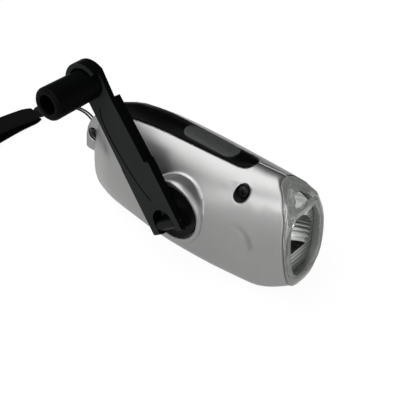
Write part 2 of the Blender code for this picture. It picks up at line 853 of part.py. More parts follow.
def far_side_shell(shell):
    """Split off the far side and add its towers, shelves and cradle."""
    half = shell
    half.name = "far_side_shell"
    edge = SEAM_Y + FIT / 2
    keep(half, half_space("far_half", edge, BODY_WIDTH))
    screw = (FRONT_SCREW_X, FRONT_SCREW_Z)
    join(half, inside_wall(rod("tower", FRONT_TOWER_RADIUS, edge, BODY_WIDTH, screw)))
    pilot_end = FRONT_SCREW_END_Y + FIT
    cut(half, rod("pilot", FRONT_SCREW_RADIUS + FIT, -FIT, pilot_end, screw))
    rear = (REAR_SCREW_X, REAR_SCREW_Z)
    cut(half, rod("rear_pilot", REAR_SCREW_RADIUS + FIT, -FIT, REAR_SCREW_END_Y + FIT, rear))
    seat = INNER_PLATE_Y + PLATE_THICKNESS + FIT
    for place in POSTS[:3]:
        join(half, inside_wall(rod("plate_seat", POST_RADIUS, seat, BODY_WIDTH, place, segments=12)))
    shelf_top = MAIN_BOARD_Z - FIT
    for x in (MAIN_BOARD_REAR_X, MAIN_BOARD_FRONT_X - SHELF_WIDTH):
        lower = (x, MAIN_BOARD_FAR_Y - SHELF_OVERLAP, shelf_top - SHELF_THICKNESS)
        upper = (x + SHELF_WIDTH, BODY_WIDTH, shelf_top)
        join(half, inside_wall(box("shelf", lower, upper)))
    return add_cradle(half, 1)


def top_grip():
    """Make the gloss insert along the crest, with its opening for the button."""
    grip = grip_band("top_grip", GRIP_RAISE, GRIP_SEAT_DEPTH - FIT, FIT)
    opening = capsule(BUTTON_LENGTH + 2 * FIT, BUTTON_WIDTH + 2 * FIT, BUTTON_X)
    cut(grip, plate_z("grip_hole", opening, BUTTON_BASE_Z, BODY_HEIGHT + OVERRUN))
    return grip


def switch_button():
    """Make the push button with its retaining flange under the shell."""
    button = body_loft("switch_button", -BUTTON_RAISE, None, "grey_rubber")
    outline = capsule(BUTTON_LENGTH, BUTTON_WIDTH, BUTTON_X)
    top = BODY_HEIGHT + OVERRUN
    keep(button, plate_z("button_plan", outline, BUTTON_BASE_Z, top))
    reach = 2 * BUTTON_FLANGE_REACH
    flange = capsule(BUTTON_LENGTH + reach, BUTTON_WIDTH + reach, BUTTON_X)
    flange_top = BUTTON_BASE_Z + BUTTON_FLANGE_THICKNESS
    return join(button, plate_z("button_flange", flange, BUTTON_BASE_Z - FIT, flange_top))


def lens_front(drawn_in, ahead=0):
    """Outline the lens face from the side, drawn in by a wall or moved ahead of it."""
    low = -OVERRUN
    run = LENS_FRONT_X - LENS_SLOPE_TOP_X
    rise = LENS_SLOPE_TOP_Z - LENS_CREASE_Z
    front = LENS_FRONT_X - drawn_in + ahead
    crease = LENS_CREASE_Z - drawn_in / 2 - ahead * rise / run
    foot = front + LENS_LEAN_SHARE * (crease - low)
    top_x = LENS_SLOPE_TOP_X - run - drawn_in
    top_z = LENS_SLOPE_TOP_Z + rise - drawn_in / 2
    return [(foot, low), (front, crease), (top_x, top_z)]


def leaning(ring):
    """Shear a ring of the lens so that its face leans back like the crease."""
    return [(x + LENS_LEAN_SHARE * (LENS_CREASE_Z - z), y, z) for x, y, z in ring]


def lens_loft(name, inset, bevel_shift):
    """Loft the lens form: the body's form with a bevel round the front face."""
    start = LENS_SLOPE_TOP_X - 2 * LENS_SKIRT_LENGTH
    stop = LENS_BEVEL_START_X - bevel_shift - LENS_BEVEL_REACH
    rows = [row for row in body_stations() if start < row[0] < stop]
    points = SECTION_POINTS if bevel_shift == 0 else INNER_SECTION_POINTS
    rings = [section_ring(*row, inset, points) for row in rows]
    bevel_x = LENS_BEVEL_START_X - bevel_shift
    front_x = LENS_FRONT_X - bevel_shift
    middle_x = (bevel_x + front_x) / 2
    middle_inset = inset + LENS_BEVEL_REACH / 3
    end = station_at(bevel_x)
    rings.append(leaning(section_ring(bevel_x, *end, inset, points)))
    rings.append(leaning(section_ring(middle_x, *end, middle_inset, points)))
    rings.append(leaning(section_ring(front_x, *end, inset + LENS_BEVEL_REACH, points)))
    return skin(name, rings, "clear_plastic")


def lens():
    """Make the clear nose cap with its flange and the skirt inside the shell."""
    cap = lens_loft("lens", FIT, 0)
    keep(cap, ahead_of_edge("cap_space", FIT, lens_front(0, BODY_WALL)))
    skirt_inset = BODY_WALL + FIT
    skirt = body_loft("skirt", skirt_inset, REFLECTOR_REAR_X - 2 * LENS_SKIRT_LENGTH)
    shoulder = front_edge(FIT + LENS_FLANGE)
    behind = [(x - LENS_SKIRT_LENGTH - LENS_FLANGE, z) for x, z in reversed(shoulder)]
    keep(skirt, plate_y("skirt_space", shoulder + behind, -BODY_WIDTH, BODY_WIDTH))
    join(cap, skirt)
    core_inset = skirt_inset + LENS_SKIRT_WALL
    core = body_loft("core", core_inset, REFLECTOR_REAR_X - 3 * LENS_SKIRT_LENGTH)
    shoulder = front_edge(FIT + 2 * LENS_FLANGE)
    behind = [(x - 2 * LENS_SKIRT_LENGTH, z) for x, z in reversed(shoulder)]
    keep(core, plate_y("core_space", shoulder + behind, -BODY_WIDTH, BODY_WIDTH))
    inner = lens_loft("inner", FIT + LENS_WALL, LENS_WALL)
    keep(inner, ahead_of_edge("inner_space", FIT + LENS_FLANGE, lens_front(LENS_WALL, BODY_WALL)))
    cut(cap, core)
    cut(cap, inner)
    return cap


def reflector():
    """Make the chromed bezel with three stacked bowls."""
    inset = BODY_WALL + FIT + LENS_SKIRT_WALL + REFLECTOR_GAP
    bezel = body_loft("reflector", inset, REFLECTOR_REAR_X, "chrome")
    front = lens_front(REFLECTOR_SETBACK)
    outline = [(0, -OVERRUN)] + front + [(0, front[-1][1])]
    keep(bezel, plate_y("bezel_space", outline, -BODY_WIDTH, BODY_WIDTH))
    rim_x = LENS_FRONT_X - REFLECTOR_SETBACK
    apex = rim_x - CUP_DEPTH
    hole = LED_FLANGE_RADIUS + FIT
    for share in CUP_HEIGHT_SHARES:
        profile = [(0, REFLECTOR_REAR_X - FIT), (hole, REFLECTOR_REAR_X - FIT)]
        for step in range(CUP_STEPS + 1):
            reach = step / CUP_STEPS
            radius = hole + (CUP_RADIUS - hole) * reach
            profile.append((radius, apex + CUP_DEPTH * reach * reach))
        profile.append((CUP_RADIUS, rim_x + LENS_WALL))
        profile.append((0, rim_x + LENS_WALL))
        height = share * LENS_CREASE_Z
        cut(bezel, turned("cup", profile, (0, height), "X", 22))
    return bezel


def led(name, height):
    """Make one light-emitting diode on its board."""
    start = REFLECTOR_REAR_X
    collar = start + LED_FLANGE_THICKNESS
    shoulder = start + LED_LENGTH - LED_RADIUS
    profile = [(0, start), (LED_FLANGE_RADIUS, start), (LED_FLANGE_RADIUS, collar)]
    profile.append((LED_RADIUS, collar))
    for step in range(4):
        angle = math.pi / 2 * step / 4
        profile.append((LED_RADIUS * math.cos(angle), shoulder + LED_RADIUS * math.sin(angle)))
    profile.append((0, start + LED_LENGTH))
    return turned(name, profile, (0, height), "X", 12, "led_epoxy")


def screw_y(name, centre, head_y, head_radius, head_thickness, radius, end_y, look_name="steel"):
    """Make a pan-head screw along +Y with a crossed drive recess."""
    start = head_y - head_thickness
    profile = [
        (0, start),
        (head_radius * 0.8, start),
        (head_radius, head_y - head_thickness / 2),
        (head_radius, head_y),
        (radius, head_y),
        (radius, end_y),
        (0, end_y),
    ]
    screw = turned(name, profile, centre, "Y", 14, look_name)
    half = DRIVE_RECESS_WIDTH / 2
    reach = head_radius * 0.6
    floor = start + head_thickness / 2
    slot = box("slot_a", (-reach, start - FIT, -half), (reach, floor, half))
    join(slot, box("slot_b", (-half, start - FIT, -reach), (half, floor, reach)))
    slot.data.transform(Matrix.Translation((centre[0], 0, centre[1])))
    return cut(screw, slot)


def crank_hub():
    """Make the round hub with the knuckle that carries the arm's pin."""
    back = RECESS_FLOOR_Y - FIT
    profile = [
        (0, back),
        (HUB_RADIUS, back),
        (HUB_RADIUS, HUB_FACE_Y + HUB_EDGE_ROUND),
        (HUB_RADIUS - HUB_EDGE_ROUND, HUB_FACE_Y),
        (0, HUB_FACE_Y),
    ]
    hub = turned("crank_hub", profile, HUB_CENTRE, segments=36, look_name="black_plastic")
    base = HUB_FACE_Y + HUB_EDGE_ROUND
    outline = [(PIN_OFFSET + KNUCKLE_FRONT, base)]
    outline.append((PIN_OFFSET + KNUCKLE_FRONT, HUB_FACE_Y - PIN_RADIUS))
    for step in range(9):
        angle = math.radians(35) + math.radians(110) * step / 8
        along = PIN_OFFSET + KNUCKLE_RADIUS * math.cos(angle)
        outline.append((along, PIN_Y - KNUCKLE_RADIUS * math.sin(angle)))
    outline.append((PIN_OFFSET - KNUCKLE_BACK, HUB_FACE_Y - PIN_RADIUS))
    outline.append((PIN_OFFSET - KNUCKLE_BACK, base))
    join(hub, across_arm("knuckle", outline, -KNUCKLE_HALF_WIDTH, KNUCKLE_HALF_WIDTH))
    cut(hub, arm_axis_rod("pin_bore", PIN_RADIUS + FIT, HUB_RADIUS))
    socket_end = back - SOCKET_DEPTH
    cut(hub, rod("socket", SHAFT_RADIUS + FIT, socket_end, 0, HUB_CENTRE))
    return hub


def front_side():
    """List the arm's front edge from the fork to the neck."""
    return [
        (PIN_OFFSET - ARM_LEG_RADIUS, ARM_FOOT_REACH),
        (ARM_STEP_START - ARM_EDGE_ROUND, ARM_WAIST_REACH),
        (ARM_STEP_START, ARM_STEP_REACH),
        (ARM_HEAD_START, ARM_NECK_REACH + ARM_EDGE_ROUND / 2),
    ]


def rear_side():
    """List the arm's rear edge from the fork to the neck."""
    lip = ARM_EDGE_ROUND / 3
    return [
        (PIN_OFFSET - ARM_LEG_RADIUS, -ARM_REAR_REACH),
        (ARM_STEP_START - lip, -ARM_REAR_REACH),
        (ARM_STEP_START, lip - ARM_REAR_REACH),
        (ARM_HEAD_START, lip - ARM_REAR_REACH),
    ]


def arm_plate(name, outline, y_near, y_far):
    """Extrude an outline of (along, across) points through part of the arm."""
    points = [arm_point(*place) for place in outline]
    return plate_y(name, points, y_near, y_far, "black_plastic")


def crank_arm():
    """Make the forked arm with its inner pad, groove and hood."""
    head = []
    steps = 16
    for step in range(steps + 1):
        angle = HEAD_HALF_ANGLE * (1 - 2 * step / steps)
        across = KNOB_OFFSET + ARM_HEAD_RADIUS * math.sin(angle)
        head.append((ARM_REACH + ARM_HEAD_RADIUS * math.cos(angle), across))
    arm = arm_plate("crank_arm", front_side() + head + rear_side()[::-1], ARM_OUTER_Y, ARM_HEAD_Y)
    middle = (ARM_OUTER_Y + ARM_HEAD_Y) / 2
    start = PIN_OFFSET - 2 * ARM_LEG_RADIUS
    front = ARM_FOOT_REACH - FOOT_INSET
    rear = ARM_EDGE_ROUND / 8 - ARM_REAR_REACH
    foot = [(start, front), (ARM_STEP_START, front), (ARM_STEP_START, rear), (start, rear)]
    join(arm, arm_plate("foot", foot, middle, ARM_INNER_Y))
    start = ARM_STEP_START - 2 * ARM_EDGE_ROUND
    end = ARM_HEAD_START - ARM_EDGE_ROUND
    wide = ARM_STEP_REACH - PAD_INSET
    narrow = ARM_NECK_REACH + ARM_EDGE_ROUND / 2 - PAD_INSET
    rear = PAD_INSET - ARM_REAR_REACH
    pad = [(start, wide), (end, narrow), (end, rear), (start, rear)]
    join(arm, arm_plate("pad", pad, middle, PAD_INNER_Y))
    swing = []
    for step in range(17):
        angle = math.pi / 2 + math.pi * step / 16
        along = PIN_OFFSET + ARM_LEG_RADIUS * math.cos(angle)
        swing.append((along, PIN_Y - ARM_LEG_RADIUS * math.sin(angle)))
    far = 2 * ARM_REACH
    swing += [(far, PIN_Y + ARM_LEG_RADIUS), (far, PIN_Y - ARM_LEG_RADIUS)]
    keep(arm, across_arm("leg_round", swing, -2 * HUB_RADIUS, 2 * HUB_RADIUS))
    fork = [(-HUB_RADIUS, -FORK_HALF_WIDTH)]
    for step in range(13):
        angle = math.pi * (step / 12 - 0.5)
        along = FORK_REACH - FORK_HALF_WIDTH + FORK_HALF_WIDTH * math.cos(angle)
        fork.append((along, FORK_HALF_WIDTH * math.sin(angle)))
    fork.append((-HUB_RADIUS, FORK_HALF_WIDTH))
    fork_points = [arm_point(*place) for place in fork]
    cut(arm, plate_y("fork", fork_points, -BODY_WIDTH, 0))
    cut(arm, arm_axis_rod("arm_bore", PIN_RADIUS + FIT, HUB_RADIUS))
    outer = HOOD_INNER_RADIUS + HOOD_WALL
    hood = ring_sector(HOOD_INNER_RADIUS, outer, KNOB_CENTRE, ARM_ANGLE, HOOD_HALF_ANGLE)
    join(arm, plate_y("hood", hood, HOOD_END_Y, ARM_OUTER_Y + HOOD_WALL / 2, "black_plastic"))
    cut(arm, rod("stud_bore", STUD_RADIUS + FIT, -BODY_WIDTH, 0, KNOB_CENTRE))
    return cut(arm, groove())


def groove():
    """Make the shallow curved groove on the arm's outer face."""
    run = GROOVE_END - GROOVE_START
    middle = smooth_row(GROOVE_SHARES, 3)
    line = [(GROOVE_START + a * run, b * ARM_WAIST_REACH) for a, b in middle]
    outline = [(along, across - GROOVE_HALF_WIDTH) for along, across in line]
    outline += [(along, across + GROOVE_HALF_WIDTH) for along, across in reversed(line)]
    points = [arm_point(*place) for place in outline]
    return plate_y("groove", points, ARM_OUTER_Y - FIT, ARM_OUTER_Y + GROOVE_DEPTH)


def hinge_pin():
    """Make the pin that joins the arm to the hub's knuckle."""
    half = ARM_FOOT_REACH - FOOT_INSET - FIT
    return arm_axis_rod("hinge_pin", PIN_RADIUS, half, "steel")


def crank_knob():
    """Turn the knob with its stepped bore."""
    base = ARM_OUTER_Y - FIT
    tip = base - KNOB_LENGTH
    bore = STUD_RADIUS + FIT
    floor = tip + KNOB_BORE_DEPTH
    profile = [
        (bore, base),
        (KNOB_BASE_RADIUS - KNOB_BASE_ROUND, base),
        (KNOB_BASE_RADIUS, base - KNOB_BASE_ROUND),
    ]
    for step in range(4):
        angle = math.pi / 2 * step / 3
        radius = KNOB_TIP_RADIUS - KNOB_TIP_ROUND * (1 - math.cos(angle))
        profile.append((radius, tip + KNOB_TIP_ROUND * (1 - math.sin(angle))))
    profile += [
        (KNOB_BORE_RADIUS + KNOB_BASE_ROUND, tip),
        (KNOB_BORE_RADIUS, tip + KNOB_BASE_ROUND),
        (KNOB_BORE_RADIUS, floor),
        (bore, floor),
    ]
    return turned("crank_knob", profile, KNOB_CENTRE, "Y", 26, "black_plastic")


def knob_stud():
    """Turn the stud that the knob runs on, with its head behind the arm."""
    head = ARM_HEAD_Y + FIT
    end = ARM_OUTER_Y - FIT - KNOB_LENGTH + KNOB_BORE_DEPTH - STUD_PROUD
    bore = KNOB_SCREW_RADIUS + FIT
    depth = end + KNOB_SCREW_LENGTH + FIT
    profile = [
        (0, head + STUD_HEAD_THICKNESS),
        (STUD_HEAD_RADIUS, head + STUD_HEAD_THICKNESS),
        (STUD_HEAD_RADIUS, head),
        (STUD_RADIUS, head),
        (STUD_RADIUS, end),
        (bore, end),
        (bore, depth),
        (0, depth),
    ]
    return turned("knob_stud", profile, KNOB_CENTRE, "Y", 18, "steel")


def knob_screw():
    """Make the screw that keeps the knob on its stud."""
    seat = ARM_OUTER_Y - FIT - KNOB_LENGTH + KNOB_BORE_DEPTH - STUD_PROUD - FIT
    end = seat + KNOB_SCREW_LENGTH
    thickness = KNOB_SCREW_HEAD_THICKNESS
    head = KNOB_SCREW_HEAD_RADIUS
    return screw_y("knob_screw", KNOB_CENTRE, seat, head, thickness, KNOB_SCREW_RADIUS, end)


def train_phases():
    """Work out how each gear is turned so that all of them mesh at rest."""
    first = 0
    pinion_a = mating_phase(first, DRIVE_TEETH, PINION_TEETH, SECOND_DIRECTION)
    pinion_b = mating_phase(first, SECOND_TEETH, PINION_TEETH, THIRD_DIRECTION)
    pinion_c = mating_phase(first, THIRD_TEETH, PINION_TEETH, ROTOR_DIRECTION)
    return first, pinion_a, pinion_b, pinion_c


def compound_gear(name, centre, pinion, wheel):
    """Fuse a pinion and a wheel on one hub and bore it for its axle."""
    body = plate_y(name, pinion[0], pinion[1], pinion[2], "white_nylon")
    join(body, plate_y("wheel", wheel[0], wheel[1], wheel[2]))
    start = GEAR_SPACE_START + FIT
    end = INNER_PLATE_Y - FIT
    join(body, rod("gear_hub", GEAR_HUB_RADIUS, start, end, centre, segments=16))
    return cut(body, rod("gear_bore", AXLE_RADIUS + FIT, -OVERRUN, OVERRUN, centre, segments=12))


def drive_gear(phase):
    """Make the large gear on the crank shaft."""
    outline = gear_outline(DRIVE_TEETH, FIRST_MODULE, WHEEL_ADDENDUM_SHARE, phase, HUB_CENTRE)
    end = FIRST_MESH_Y + FIRST_MESH_WIDTH
    gear = plate_y("drive_gear", outline, FIRST_MESH_Y, end, "white_nylon")
    start = GEAR_SPACE_START + FIT
    stop = INNER_PLATE_Y - FIT
    join(gear, rod("drive_hub", DRIVE_HUB_RADIUS, start, stop, HUB_CENTRE))
    return cut(gear, rod("drive_bore", SHAFT_RADIUS + FIT, -OVERRUN, OVERRUN, HUB_CENTRE))


def gear_train():
    """Make all gears in mesh."""
    first, pinion_a, pinion_b, pinion_c = train_phases()
    drive_gear(first)
    addendum = PINION_ADDENDUM_SHARE
    wheel = WHEEL_ADDENDUM_SHARE
    pinion = gear_outline(PINION_TEETH, FIRST_MODULE, addendum, pinion_a, SECOND_CENTRE)
    second = gear_outline(SECOND_TEETH, SECOND_MODULE, wheel, first, SECOND_CENTRE)
    compound_gear(
        "second_gear",
        SECOND_CENTRE,
        (pinion, FIRST_MESH_Y, SECOND_MESH_Y + PINION_OVERLAP),
        (second, SECOND_MESH_Y, SECOND_MESH_Y + SECOND_MESH_WIDTH),
    )
    pinion = gear_outline(PINION_TEETH, SECOND_MODULE, addendum, pinion_b, THIRD_CENTRE)
    third = gear_outline(THIRD_TEETH, THIRD_MODULE, wheel, first, THIRD_CENTRE)
    third_end = THIRD_MESH_Y + THIRD_MESH_WIDTH
    second_end = SECOND_MESH_Y + SECOND_MESH_WIDTH
    compound_gear(
        "third_gear",
        THIRD_CENTRE,
        (pinion, third_end - PINION_OVERLAP, second_end + PINION_OVERLAP),
        (third, THIRD_MESH_Y, third_end),
    )
    small = gear_outline(PINION_TEETH, THIRD_MODULE, addendum, pinion_c, ROTOR_CENTRE)
    start = THIRD_MESH_Y - PINION_OVERLAP
    rotor = plate_y("rotor_pinion", small, start, third_end + PINION_OVERLAP, "brass")
    bore = AXLE_RADIUS + FIT
    cut(rotor, rod("pinion_bore", bore, -OVERRUN, OVERRUN, ROTOR_CENTRE, segments=12))


def plate_outline():
    """Outline both gear plates round the posts and the shafts."""
    reach = POST_RADIUS + PLATE_MARGIN / 2
    places = [(x, z, reach) for x, z in POSTS]
    places.append((*HUB_CENTRE, SHAFT_RADIUS + 2 * PLATE_MARGIN))
    places.append((*ROTOR_CENTRE, AXLE_RADIUS + PLATE_MARGIN))
    points = []
    for x, z, radius in places:
        for step in range(10):
            angle = math.tau * step / 10
            points.append((x + radius * math.cos(angle), z + radius * math.sin(angle)))
    return hull(points)


def hull(points):
    """Find the convex outline round a set of (x, z) points."""
    ordered = sorted(set(points))

    def half(rows):
        chain = []
        for point in rows:
            while len(chain) > 1 and turn(chain[-2], chain[-1], point) <= 0:
                chain.pop()
            chain.append(point)
        return chain[:-1]

    return half(ordered) + half(list(reversed(ordered)))


def turn(start, middle, end):
    """Tell which way the path start, middle, end bends."""
    ahead = (middle[0] - start[0]) * (end[1] - start[1])
    return ahead - (middle[1] - start[1]) * (end[0] - start[0])


def gear_plates():
    """Make both plates, the posts between them, their screws and the fixed axles."""
    outline = plate_outline()
    outer_end = OUTER_PLATE_Y + PLATE_THICKNESS
    inner_end = INNER_PLATE_Y + PLATE_THICKNESS
    outer = plate_y("gear_plate_outer", outline, OUTER_PLATE_Y, outer_end, "white_nylon")
    inner = plate_y("gear_plate_inner", outline, INNER_PLATE_Y, inner_end, "white_nylon")
    for place in POSTS:
        join(inner, rod("post", POST_RADIUS, outer_end + FIT, INNER_PLATE_Y + FIT, place, segments=12))
        bore = PLATE_SCREW_RADIUS + FIT
        depth = outer_end + PLATE_SCREW_LENGTH
        cut(inner, rod("post_bore", bore, outer_end, depth, place, segments=8))
        cut(outer, rod("screw_way", bore, -OVERRUN, 0, place, segments=8))
    for plate in (outer, inner):
        shaft = SHAFT_RADIUS + FIT
        cut(plate, rod("shaft_way", shaft, -OVERRUN, OVERRUN, HUB_CENTRE))
        for centre in (SECOND_CENTRE, THIRD_CENTRE, ROTOR_CENTRE):
            axle = AXLE_RADIUS + FIT
            cut(plate, rod("axle_way", axle, -OVERRUN, OVERRUN, centre, segments=12))
    for number, place in enumerate(POSTS, 1):
        seat = OUTER_PLATE_Y - FIT
        end = OUTER_PLATE_Y + PLATE_SCREW_LENGTH
        head = PLATE_SCREW_HEAD_RADIUS
        thickness = PLATE_SCREW_HEAD_THICKNESS
        name = f"plate_screw_{number}"
        start = seat - thickness
        shank = PLATE_SCREW_RADIUS
        profile = [(0, start), (head, start), (head, seat), (shank, seat), (shank, end), (0, end)]
        turned(name, profile, place, "Y", 10, "steel")
    for name, centre in (("second_axle", SECOND_CENTRE), ("third_axle", THIRD_CENTRE)):
        rod(name, AXLE_RADIUS, OUTER_PLATE_Y, inner_end, centre, segments=12)


def crank_drive():
    """Make the crank shaft, its bush and its clip."""
    start = RECESS_FLOOR_Y - SOCKET_DEPTH
    plate_end = INNER_PLATE_Y + PLATE_THICKNESS
    clip_start = plate_end + FIT
    end = clip_start + 2 * CLIP_THICKNESS
    rod("crank_shaft", SHAFT_RADIUS, start, end, HUB_CENTRE)
    inner = SHAFT_RADIUS + FIT
    outer = inner + BUSH_WALL
    top = RECESS_FLOOR_Y
    back = RECESS_FLOOR_Y + RECESS_FLOOR_THICKNESS + FIT
    flange_end = back + BUSH_FLANGE_THICKNESS
    profile = [
        (inner, top),
        (outer, top),
        (outer, back),
        (outer + BUSH_FLANGE_REACH, back),
        (outer + BUSH_FLANGE_REACH, flange_end),
        (outer, flange_end),
        (outer, top + BUSH_LENGTH),
        (inner, top + BUSH_LENGTH),
    ]
    turned("shaft_bush", profile, HUB_CENTRE, "Y", 20, "brass")
    reach = inner + CLIP_REACH
    middle = SECOND_DIRECTION
    span = math.pi - CLIP_HALF_GAP
    clip = ring_sector(inner, reach, HUB_CENTRE, middle, span)
    plate_y("retaining_clip", clip, clip_start, clip_start + CLIP_THICKNESS, "steel")


def alternator():
    """Make the rotor and the stator of the generator."""
    plate_end = INNER_PLATE_Y + PLATE_THICKNESS
    can_start = plate_end + FIT
    can_end = can_start + CAN_DEPTH
    bore = AXLE_RADIUS + FIT
    inner = CAN_RADIUS - CAN_WALL
    profile = [
        (inner, can_start),
        (CAN_RADIUS, can_start),
        (CAN_RADIUS, can_end),
        (bore, can_end),
        (bore, can_end - CAN_WALL),
        (inner, can_end - CAN_WALL),
    ]
    turned("stator_can", profile, ROTOR_CENTRE, "Y", 24, "steel")
    coil_outer = inner - FIT
    coil_start = can_start + COIL_END_GAP
    coil_end = can_end - CAN_WALL - FIT
    coil_inner = coil_outer - COIL_WALL
    tube("coil", coil_inner, coil_outer, coil_start, coil_end, ROTOR_CENTRE, look_name="copper_wire")
    magnet_end = coil_end - COIL_END_GAP
    name = "rotor_magnet"
    tube(name, bore, MAGNET_RADIUS, coil_start, magnet_end, ROTOR_CENTRE, look_name="dark_ferrite")
    rod("rotor_shaft", AXLE_RADIUS, OUTER_PLATE_Y, can_end + ROTOR_END_PROUD, ROTOR_CENTRE, segments=12)


def cells():
    """Stack the three button cells."""
    pitch = CELL_THICKNESS + FIT
    for number in range(3):
        start = (number - 1) * pitch - CELL_THICKNESS / 2
        end = start + CELL_THICKNESS
        inner = CELL_RADIUS - CELL_EDGE_ROUND
        profile = [
            (0, start),
            (inner, start),
            (CELL_RADIUS, start + CELL_EDGE_ROUND),
            (CELL_RADIUS, end - CELL_EDGE_ROUND),
            (inner, end),
            (0, end),
        ]
        turned(f"battery_cell_{number + 1}", profile, (CELL_X, CELL_Z), "Y", 20, "steel")


def boards():
    """Make the main board with its switch, and the board that carries the diodes."""
    top = MAIN_BOARD_Z + BOARD_THICKNESS
    lower = (MAIN_BOARD_REAR_X, MAIN_BOARD_NEAR_Y, MAIN_BOARD_Z)
    box("main_board", lower, (MAIN_BOARD_FRONT_X, MAIN_BOARD_FAR_Y, top), "green_board")
    seat = top + FIT
    half = SWITCH_SIZE / 2
    body = box(
        "tact_switch",
        (BUTTON_X - half, SWITCH_Y - half, seat),
        (BUTTON_X + half, SWITCH_Y + half, seat + SWITCH_HEIGHT),
        "black_plastic",
    )
    stem_end = BUTTON_BASE_Z - FIT - BUTTON_TRAVEL - STEM_CLEARANCE
    stem = rod("stem", STEM_RADIUS, seat + FIT, stem_end, (BUTTON_X, SWITCH_Y), "Z", 20)
    join(body, stem)
    face = REFLECTOR_REAR_X - FIT
    low = CUP_HEIGHT_SHARES[-1] * LENS_CREASE_Z - LED_BOARD_MARGIN
    high = CUP_HEIGHT_SHARES[0] * LENS_CREASE_Z + LED_BOARD_MARGIN
    lower = (face - BOARD_THICKNESS, -LED_BOARD_HALF_WIDTH, low)
    box("led_board", lower, (face, LED_BOARD_HALF_WIDTH, high), "green_board")


def even_points(points, count):
    """Space a row of points evenly along its own length."""
    line = [Vector(point) for point in points]
    lengths = [0]
    for start, end in zip(line, line[1:]):
        lengths.append(lengths[-1] + (end - start).length)
    spaced = []
    index = 0
    for step in range(count):
        target = lengths[-1] * step / (count - 1)
        while index < len(line) - 2 and lengths[index + 1] < target:
            index += 1
        span = lengths[index + 1] - lengths[index]
        spaced.append(line[index].lerp(line[index + 1], (target - lengths[index]) / span))
    return spaced


def cord_line():
    """Lay the doubled cord from the sleeve, round the rear screw and back to the sleeve."""
    heading = Vector((math.cos(SLEEVE_HEADING), math.sin(SLEEVE_HEADING), 0))
    mouth = Vector(SLEEVE_CENTRE) - heading * (SLEEVE_LENGTH / 2 + FIT)
    middle = [Vector(point) for point in smooth_row((*CORD_ROUTE, tuple(mouth)), 8)]
    near = []
    far = []
    for index, point in enumerate(middle):
        before = middle[max(index - 1, 0)]
        after = middle[min(index + 1, len(middle) - 1)]
        ahead = (after - before).normalized()
        aside = Vector((ahead.y, -ahead.x, 0)).normalized()
        near.append(point - aside * CORD_SPACING)
        far.append(point + aside * CORD_SPACING)
    loop = []
    for step in range(LOOP_STEPS + 1):
        angle = math.radians(100) * (1 - 2 * step / LOOP_STEPS)
        x = REAR_SCREW_X + CORD_LOOP_RADIUS * math.cos(angle)
        z = REAR_SCREW_Z + CORD_LOOP_RADIUS * math.sin(angle)
        y = CORD_SPACING * (1 - 2 * step / LOOP_STEPS)
        loop.append(Vector((x, y, z)))
    inward = even_points(reversed(far), STRAND_POINTS)
    return inward + loop + even_points(near, STRAND_POINTS)


def strap_cord():
    """Make the doubled cord as one tube."""
    curve = bpy.data.curves.new("strap_cord", "CURVE")
    curve.dimensions = "3D"
    curve.bevel_depth = CORD_RADIUS
    curve.bevel_resolution = 2
    curve.use_fill_caps = True
    points = cord_line()
    spline = curve.splines.new("POLY")
    spline.points.add(len(points) - 1)
    for place, point in zip(spline.points, points):
        place.co = (*point, 1)
    cord = bpy.data.objects.new("strap_cord", curve)
    bpy.context.scene.collection.objects.link(cord)
    curve.materials.append(look("black_webbing"))


def strap_sleeve():
    """Make the flat sleeve that gathers the cord's ends and the webbing."""
    steps = 20
    heading = Vector((math.cos(SLEEVE_HEADING), math.sin(SLEEVE_HEADING), 0))
    aside = Vector((-heading.y, heading.x, 0))
    centre = Vector(SLEEVE_CENTRE)
    half = SLEEVE_LENGTH / 2
    swell = ((-1, 0.72), (-0.86, 0.9), (-0.4, 1), (0.4, 1), (0.86, 0.95), (1, 0.8))
    rings = []
    for place, size in swell:
        ring = []
        for step in range(steps):
            angle = math.tau * step / steps
            across = SLEEVE_HALF_WIDTH * size * math.cos(angle)
            upward = SLEEVE_HALF_HEIGHT * size * math.sin(angle)
            ring.append(tuple(centre + heading * (place * half) + aside * across + Vector((0, 0, upward))))
        rings.append(ring)
    return skin("strap_sleeve", rings, "black_plastic")


def strap_webbing():
    """Make the flattened loop of webbing beyond the sleeve."""
    plan = smooth_row(WEB_PLAN, 6)
    rises = smooth_row([(share,) for share in WEB_RISE_SHARES], 6)
    low = WEB_GROUND_GAP + WEB_THICKNESS / 2
    lower = [Vector((x, y, low)) for x, y in plan]
    upper = [Vector((x, y, low + rise[0] * WEB_RISE)) for (x, y), rise in zip(plan, rises)]
    ahead = (lower[-1] - lower[-2]).normalized()
    radius = (upper[-1].z - lower[-1].z) / 2
    bend = []
    for step in range(1, 8):
        angle = math.pi * step / 8 - math.pi / 2
        place = lower[-1] + ahead * (radius * math.cos(angle))
        place.z = low + radius + radius * math.sin(angle)
        bend.append(place)
    line = even_points(lower + bend + list(reversed(upper)), WEB_POINTS)
    rings = []
    for index, point in enumerate(line):
        before = line[max(index - 1, 0)]
        after = line[min(index + 1, len(line) - 1)]
        run = (after - before).normalized()
        plan_run = Vector((ahead.x, ahead.y, 0))
        aside = Vector((-plan_run.y, plan_run.x, 0)).normalized()
        up = run.cross(aside).normalized()
        wide = aside * WEB_HALF_WIDTH
        thick = up * (WEB_THICKNESS / 2)
        corners = (-wide - thick, wide - thick, wide + thick, -wide + thick)
        rings.append([tuple(point + corner) for corner in corners])
    return skin("strap_webbing", rings, "black_webbing")


def axis_empty(name, x, y, z, parent=None):
    """Mark a joint's axis with an empty that carries the pieces turning on it."""
    marker = bpy.data.objects.new(name, None)
    bpy.context.scene.collection.objects.link(marker)
    marker.empty_display_size = BODY_WALL
    base = Vector((0, 0, 0))
    if parent is not None:
        marker.parent = parent
        base = parent.matrix_world.translation
    marker.location = Vector((x, y, z)) - base
    bpy.context.view_layer.update()
    return marker


